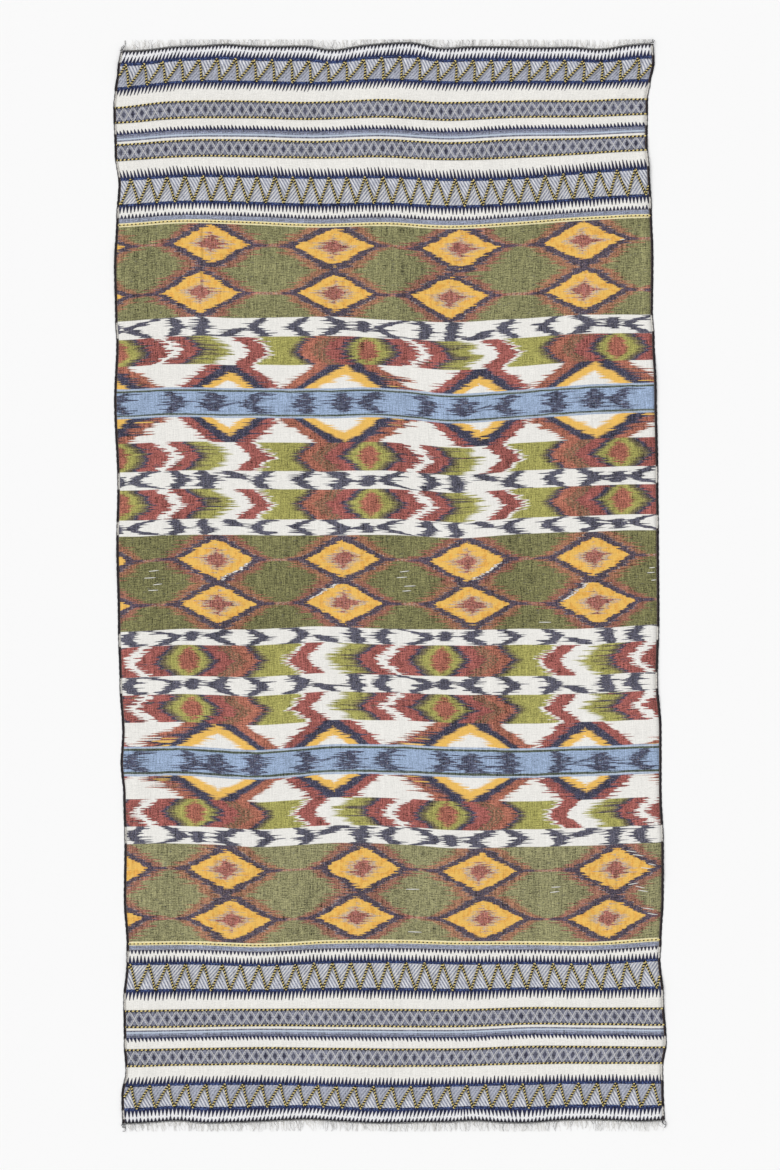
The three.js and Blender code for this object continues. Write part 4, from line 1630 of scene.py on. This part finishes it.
@dataclass
class Surface:
    """The cloth's upper face, for the yarns and edges that lie on it."""

    lay: Lay
    thick: float = CLOTH_THICK

    def at(self, x: np.ndarray, y: np.ndarray, above: np.ndarray | float = 0.0) -> np.ndarray:
        """Gives points on the upper face.

        Args:
            x: the flat distance across from the left edge, in millimetres.
            y: the place along the flat cloth.
            above: how high over the face.

        Returns:
            The points in millimetres.
        """
        points = self.lay.place(y, x / self.lay.flat_wide(y))
        points[:, 2] += self.thick + above
        return points

    def wide(self, y: float) -> float:
        """Gives the flat width at one place along the cloth."""
        return float(self.lay.flat_wide(np.array([y]))[0])


@dataclass
class SurfaceYarns:
    """The thick yellow and black yarns that lie on a border: two zigzags and the dotted lines."""

    surface: Surface
    top: bool
    radius: float = 1.65
    pitch: float = 5.4
    dot_pitch: float = 7.4
    lines: Row = (98.3, 128.2, 170.6, 200.4, 324.2)
    seed: int = 5

    def along(self, d: np.ndarray) -> np.ndarray:
        """Turns a distance in from the cloth's end into a place along the cloth."""
        if self.top:
            return BORDER_MIDDLE + BORDER_SUM - d
        closer = np.maximum(HEM_DEEP - d, 0.0) * NEAR_STRETCH / (1 - NEAR_STRETCH)
        return BORDER_MIDDLE - BORDER_SUM + d - closer

    def zigzag(self, first: float, high: float, lean: float, phase: float,
               rise: float) -> tuple[np.ndarray, np.ndarray]:
        """Walks along a zigzag in even steps.

        Args:
            first: where its outer tips are, in from the cloth's end.
            high: how far apart its outer and inner tips are.
            lean: how far each tip leans over.
            phase: where its first inner tip is.
            rise: how much the lean grows, for each millimetre across.

        Returns:
            Places across and along the flat cloth.
        """
        corners: list[tuple[float, float]] = []
        x = phase - ZIGZAG
        wide = self.surface.wide(self.along(np.array([first]))[0])
        while x < wide + ZIGZAG:
            corners.append((x, first + high))
            corners.append((x + ZIGZAG / 2 + lean + rise * x, first))
            x += ZIGZAG
        path: list[tuple[float, float]] = []
        for (x0, d0), (x1, d1) in zip(corners, corners[1:]):
            steps = max(int(math.hypot(x1 - x0, d1 - d0) / 0.9), 2)
            for k in range(steps):
                path.append((x0 + (x1 - x0) * k / steps, d0 + (d1 - d0) * k / steps))
        line = np.array(path)
        kernel = np.array([1, 2, 3, 2, 1]) / 9
        for column in (0, 1):
            line[2:-2, column] = np.convolve(line[:, column], kernel, "valid")
        inside = (line[:, 0] > SELVEDGE_WIDE) & (line[:, 0] < wide - SELVEDGE_WIDE)
        return line[inside, 0], self.along(line[inside, 1])

    def build(self, yellow: bpy.types.Material, black: bpy.types.Material) -> list[bpy.types.Object]:
        """Builds the yellow and the black yarns of one border.

        Args:
            yellow: the yellow yarn's material.
            black: the black yarn's material.

        Returns:
            The two pieces.
        """
        rng = random.Random(self.seed + self.top)
        gold, dark = Tubes(sides=4), Tubes(sides=4)
        # How far the tips lean, where the first inner tip is, and how the lean grows across.
        outer = (6.0, 26.7, 0.0055) if self.top else (-7.0, 17.4, 0.0)
        inner = (0.0, 7.2, 0.0) if self.top else (0.0, 7.5, 0.0)
        for first, high, (lean, phase, rise) in ((23.5, 38.0, outer), (237.5, 49.0, inner)):
            x, y = self.zigzag(first, high, lean, phase, rise)
            self.ply(gold, dark, x, y, rng)
        for d in self.lines:
            self.dotted(gold, dark, d, rng)
        end = "top" if self.top else "bottom"
        return [gold.make(f"yellow_yarns_{end}", yellow, "cloth"),
                dark.make(f"black_yarns_{end}", black, "cloth")]

    def ply(self, gold: Tubes, dark: Tubes, x: np.ndarray, y: np.ndarray, rng: random.Random) -> None:
        """Twists a yellow and a black yarn round each other along a line.

        Args:
            gold: takes the yellow yarn.
            dark: takes the black yarn.
            x: places across.
            y: places along.
            rng: the scatter.
        """
        base = self.surface.at(x, y, self.radius)
        gone = np.concatenate([[0], np.cumsum(np.linalg.norm(np.diff(base, axis=0), axis=1))])
        heading = np.gradient(base[:, :2], axis=0)
        heading /= np.maximum(np.linalg.norm(heading, axis=1, keepdims=True), 1e-9)
        normal = np.stack([-heading[:, 1], heading[:, 0]], axis=1)
        angle = 2 * math.pi * gone / self.pitch + rng.random() * 6 + 0.5 * np.sin(gone / 31)
        for tube, turn, full in ((gold, 0.0, 0.82), (dark, math.pi, 1.04)):
            line = base.copy()
            line[:, :2] += normal * (self.radius * 0.72 * np.cos(angle + turn))[:, None]
            line[:, 2] += self.radius * 0.5 * np.sin(angle + turn)
            tube.add(line, self.radius * full * (1 + 0.2 * np.sin(angle + turn)), flat=0.65)

    def dotted(self, gold: Tubes, dark: Tubes, d: float, rng: random.Random) -> None:
        """Lays a yellow yarn across the cloth with a black yarn that binds it at every tooth.

        Args:
            gold: takes the yellow yarn.
            dark: takes the black yarn.
            d: the line's distance in from the cloth's end.
            rng: the scatter.
        """
        wide = self.surface.wide(self.along(np.array([d]))[0])
        x = np.arange(4.0, wide - 3.0, self.dot_pitch / 4)
        y = self.along(np.full_like(x, d)) + 0.25 * np.sin(x / 23.0 + d)
        pinch = 0.5 + 0.5 * np.cos(2 * math.pi * x / self.dot_pitch)
        last = d > 300
        gold.add(self.surface.at(x, y, 0.5), (1.6 if last else 1.9) - 0.3 * pinch, flat=0.45)
        at = self.dot_pitch
        while at < wide - self.dot_pitch:
            lean = (0.2 if last else 0.5) * (0.5 + rng.random())
            side = np.array([-1.0, 0.0, 1.0]) * (1.0 if last else 1.25 + 0.3 * rng.random())
            bx = at + side * 1.6 + 0.7 * (rng.random() - 0.5)
            by = self.along(np.full(3, d)) + side * lean + 0.25 * math.sin(at / 23.0 + d)
            thick = np.array([1.1, 2.1, 1.1]) * (0.75 if last else 1.0)
            dark.add(self.surface.at(bx, by, np.array([0.7, 1.0, 0.7])), thick, flat=0.55)
            at += self.dot_pitch


# The selvedge's section: how far in from the edge and how high each of its points is.
SECTION: list[Row] = [
    (0.2, 0.35), (1.0, 1.05), (2.2, 1.35), (3.6, 1.15), (4.95, 0.72), (4.95, 0.1), (2.5, 0.0), (0.9, 0.0)]


@dataclass
class Selvedge:
    """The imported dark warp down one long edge, with the wefts that turn round it."""

    surface: Surface
    name: str
    left: bool
    step: float = 3.4

    def build(self, finish: bpy.types.Material) -> bpy.types.Object:
        """Builds and dresses the selvedge.

        Args:
            finish: its material.

        Returns:
            The piece.
        """
        lay = self.surface.lay
        y = np.arange(BOTTOM_END, TOP_END, self.step)
        phase = y * (2 * math.pi / 13.0)
        wobble = 0.28 * np.sin(phase) + 0.2 * np.sin(phase * 2.63 + 1) + 0.15 * np.sin(phase * 0.37)
        sides = between(lay.edges, y)
        wide = sides[:, 1] - sides[:, 0]
        rings = []
        for inset, high in SECTION:
            extra = wobble * (inset < 1.5)
            share = (inset + extra.clip(-0.2, 0.5)) / wide
            points = lay.place(y, share if self.left else 1 - share)
            points[:, 2] += high * (1 + 0.12 * np.sin(phase * 1.7 + inset))
            rings.append(points)
        n = len(y)
        piece = from_points(self.name, np.concatenate(rings), ring_faces(0, len(SECTION), n))
        insets = np.repeat([inset for inset, _ in SECTION], n)
        unwrap(piece.data, "Weave", np.stack([insets, np.tile(y, len(SECTION))], axis=1) * MM)
        face_outwards(piece)
        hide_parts("selvedge_left" if self.left else "selvedge_right")
        return dress(piece, finish)


@dataclass
class Fringe:
    """The cut warp ends past one hem, and the dark line of weft that holds them."""

    surface: Surface
    top: bool
    ends: int = 540
    shortest: float = 4.5
    spread: float = 19.0  # how much longer than that the longest are
    seed: int = 31

    def build(self, pale: bpy.types.Material, grey: bpy.types.Material,
              dark: bpy.types.Material) -> list[bpy.types.Object]:
        """Builds and dresses the fringe.

        Args:
            pale: the undyed yarn.
            grey: the greyer yarn.
            dark: the hem line's yarn.

        Returns:
            The pieces.
        """
        rng = random.Random(self.seed + self.top)
        out = 1 if self.top else -1
        end = TOP_END if self.top else BOTTOM_END
        name = "top" if self.top else "bottom"
        light, dull, tails = Tubes(sides=3), Tubes(sides=3), Tubes(sides=4)
        wide = self.surface.wide(end)
        reach = HALF_LENGTH - 0.3
        t = np.linspace(0, 1, 6)
        for k in range(self.ends):
            x = 1.0 + (wide - 2.0) * (k + rng.random()) / self.ends
            root = self.surface.at(np.array([x]), np.array([end + out * 1.2]), 0.1)[0]
            edge = x < 6 or x > wide - 6
            long = self.spread * rng.random() ** 0.8 + self.shortest
            thin = (0.25 + 0.15 * rng.random()) * (2.4 if edge else 1.0)
            lean = (rng.random() - 0.42) * 11
            curl = (rng.random() - 0.5) * 7
            wave = (rng.random() - 0.5) * 3
            line = np.stack([
                root[0] + lean * t + curl * np.sin(math.pi * t) + wave * np.sin(3 * math.pi * t),
                root[1] + out * long * (t - 0.12 * t * t * abs(curl) / 3),
                np.maximum(root[2] * (1 - t) + (0.3 + 1.6 * rng.random()) * np.sin(math.pi * t), 0.0) + thin,
            ], axis=1)
            line[:, 1] = np.clip(line[:, 1], -reach, reach)
            tube = tails if edge else (dull if rng.random() < 0.38 else light)
            tube.add(line, thin * (1 - 0.45 * t))
        pieces = [light.make(f"pale_ends_{name}", pale, "fringe"),
                  dull.make(f"grey_ends_{name}", grey, "fringe")]
        x = np.arange(0.0, wide, 2.0)
        hem = self.surface.at(x, np.full_like(x, end + out * 1.1), 0.2)
        tails.add(hem, (0.6 if self.top else 0.5) + 0.14 * np.sin(x * 2 * math.pi / COMB), flat=0.9)
        pieces.append(tails.make(f"hem_line_{name}", dark, "fringe"))
        return pieces


# Loose white wefts on the face: x, y, length and rise to the right, in millimetres as laid.
LOOSE: list[Row] = [
    (-437, 27, 18, 2), (-444, 14, 21, 1), (-430, 2, 17, 2), (-438, -9, 18, 1), (27, 26, 17, 2),
    (22, 15, 19, 1), (37, -1, 21, 1), (31, -10, 16, 1), (485, 33, 11, 1), (483, 24, 14, 1), (488, 10, 9, 1),
    (307, -558, 17, 1), (305, -567, 17, 2), (459, -499, 20, -3), (447, -492, 19, -3), (474, -523, 19, -2),
    (485, -516, 14, -3), (450, -552, 18, 3), (463, -558, 17, -3), (468, -565, 18, -3), (478, -598, 21, -3),
    (486, -608, 19, -3), (42, -562, 25, 0), (46, -641, 25, -1), (287, -68, 22, 0), (430, 640, 10, 1),
]


@dataclass
class LooseWefts:
    """Short undyed wefts that float on the face of the cloth."""

    surface: Surface
    radius: float = 0.95

    def build(self, finish: bpy.types.Material) -> bpy.types.Object:
        """Builds and dresses the floats.

        Args:
            finish: their material.

        Returns:
            The piece.
        """
        tubes = Tubes(sides=4)
        t = np.linspace(-0.5, 0.5, 5)
        for x, y, long, rise in LOOSE:
            place_x, place_y = x + long * t, y + rise * t
            face = self.surface.lay.lift(place_x, place_y) + self.surface.thick
            line = np.stack([place_x, place_y, face + 0.3 + 0.4 * np.cos(math.pi * t)], axis=1)
            tubes.add(line, self.radius * (1.15 - 0.9 * np.abs(t)), flat=0.7)
        return tubes.make("loose_wefts", finish, "cloth")


@dataclass
class Studio:
    """The pale floor, the soft lights and the camera over the laid scarf."""

    floor_wide: float = 14.0
    floor_at: float = -0.0002  # just under the cloth, so that the two don't fight
    floor_tone: float = 0.93
    room_light: float = 0.62
    view_height: float = 2.1645  # what the frame takes in from top to bottom, in metres
    sensor: float = 36.0
    lens: float = 100.0

    def build(self) -> None:
        """Builds the studio."""
        bpy.ops.object.select_all(action="DESELECT")
        bpy.ops.mesh.primitive_plane_add(size=self.floor_wide, location=(0, 0, self.floor_at))
        floor = bpy.context.object
        floor.name = "floor"
        material = bpy.data.materials.new("pale_floor")
        material.use_nodes = True
        shader = material.node_tree.nodes["Principled BSDF"]
        shader.inputs["Base Color"].default_value = (*[self.floor_tone] * 3, 1)
        shader.inputs["Roughness"].default_value = 0.9
        floor.data.materials.append(material)
        floor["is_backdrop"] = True
        world = bpy.data.worlds.new("soft_room")
        world.use_nodes = True
        colour, strength = world.node_tree.nodes["Background"].inputs[:2]
        colour.default_value = (1, 1, 1, 1)
        strength.default_value = self.room_light
        bpy.context.scene.world = world
        self.light("key", (-3.0, 2.6, 3.4), 42.0, 1.5)
        self.light("fill", (3.2, -2.4, 4.5), 80.0, 0.4)
        data = bpy.data.cameras.new("camera")
        data.lens = self.lens
        data.sensor_width = self.sensor
        data.sensor_fit = "AUTO"
        data.clip_end = 50.0
        camera = bpy.data.objects.new("camera", data)
        camera.location = (0.0, 0.0009, self.view_height * self.lens / self.sensor + 0.002)
        bpy.context.scene.collection.objects.link(camera)
        bpy.context.scene.camera = camera
        bpy.context.scene.view_settings.view_transform = "Standard"

    def light(self, name: str, place: tuple[float, float, float], spread: float, power: float) -> None:
        """Adds a soft light from far off, so that the whole scarf is lit alike.

        Args:
            name: its name.
            place: where it shines from.
            spread: how wide it is seen from the scarf, in degrees.
            power: its strength.
        """
        data = bpy.data.lights.new(name, "SUN")
        data.angle = math.radians(spread)
        data.energy = power
        lamp = bpy.data.objects.new(name, data)
        lamp.location = place
        lamp.rotation_euler = (-Vector(place)).to_track_quat("-Z", "Y").to_euler()
        bpy.context.scene.collection.objects.link(lamp)


def corners() -> list[list[float]]:
    """Gives the lowest and highest corner of what shows, as plain lists."""
    low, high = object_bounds()
    return [list(low), list(high)]


def main() -> None:
    """Builds the scarf and its studio, in order."""
    logging.basicConfig(level=logging.INFO, format="%(name)s %(message)s")
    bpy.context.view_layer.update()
    Studio().build()
    lay = Lay()
    surface = Surface(lay)
    panel = Panel(lay).build(ClothFinish().make(Ikat(), Brocade()))
    yellow = YarnFinish("yellow_yarn", Dye.GOLD).make()
    black = YarnFinish("black_yarn", Dye.BLACK).make()
    pale = YarnFinish("undyed_yarn", Dye.UNDYED, variation=0.15).make()
    grey = YarnFinish("grey_yarn", Dye.ASH, variation=0.2).make()
    on_it = [piece for top in (True, False) for piece in SurfaceYarns(surface, top).build(yellow, black)]
    packed = SelvedgeFinish().make()
    on_it.append(Selvedge(surface, "selvedge_left_edge", True).build(packed))
    on_it.append(Selvedge(surface, "selvedge_right_edge", False).build(packed))
    on_it.append(LooseWefts(surface).build(YarnFinish("loose_cotton", Dye.WHITE, variation=0.1).make()))
    for top in (True, False):
        pieces = Fringe(surface, top).build(pale, grey, black)
        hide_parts("fringe_top" if top else "fringe_bottom")
        on_it.extend(pieces)


if __name__ == "__main__":
    main()
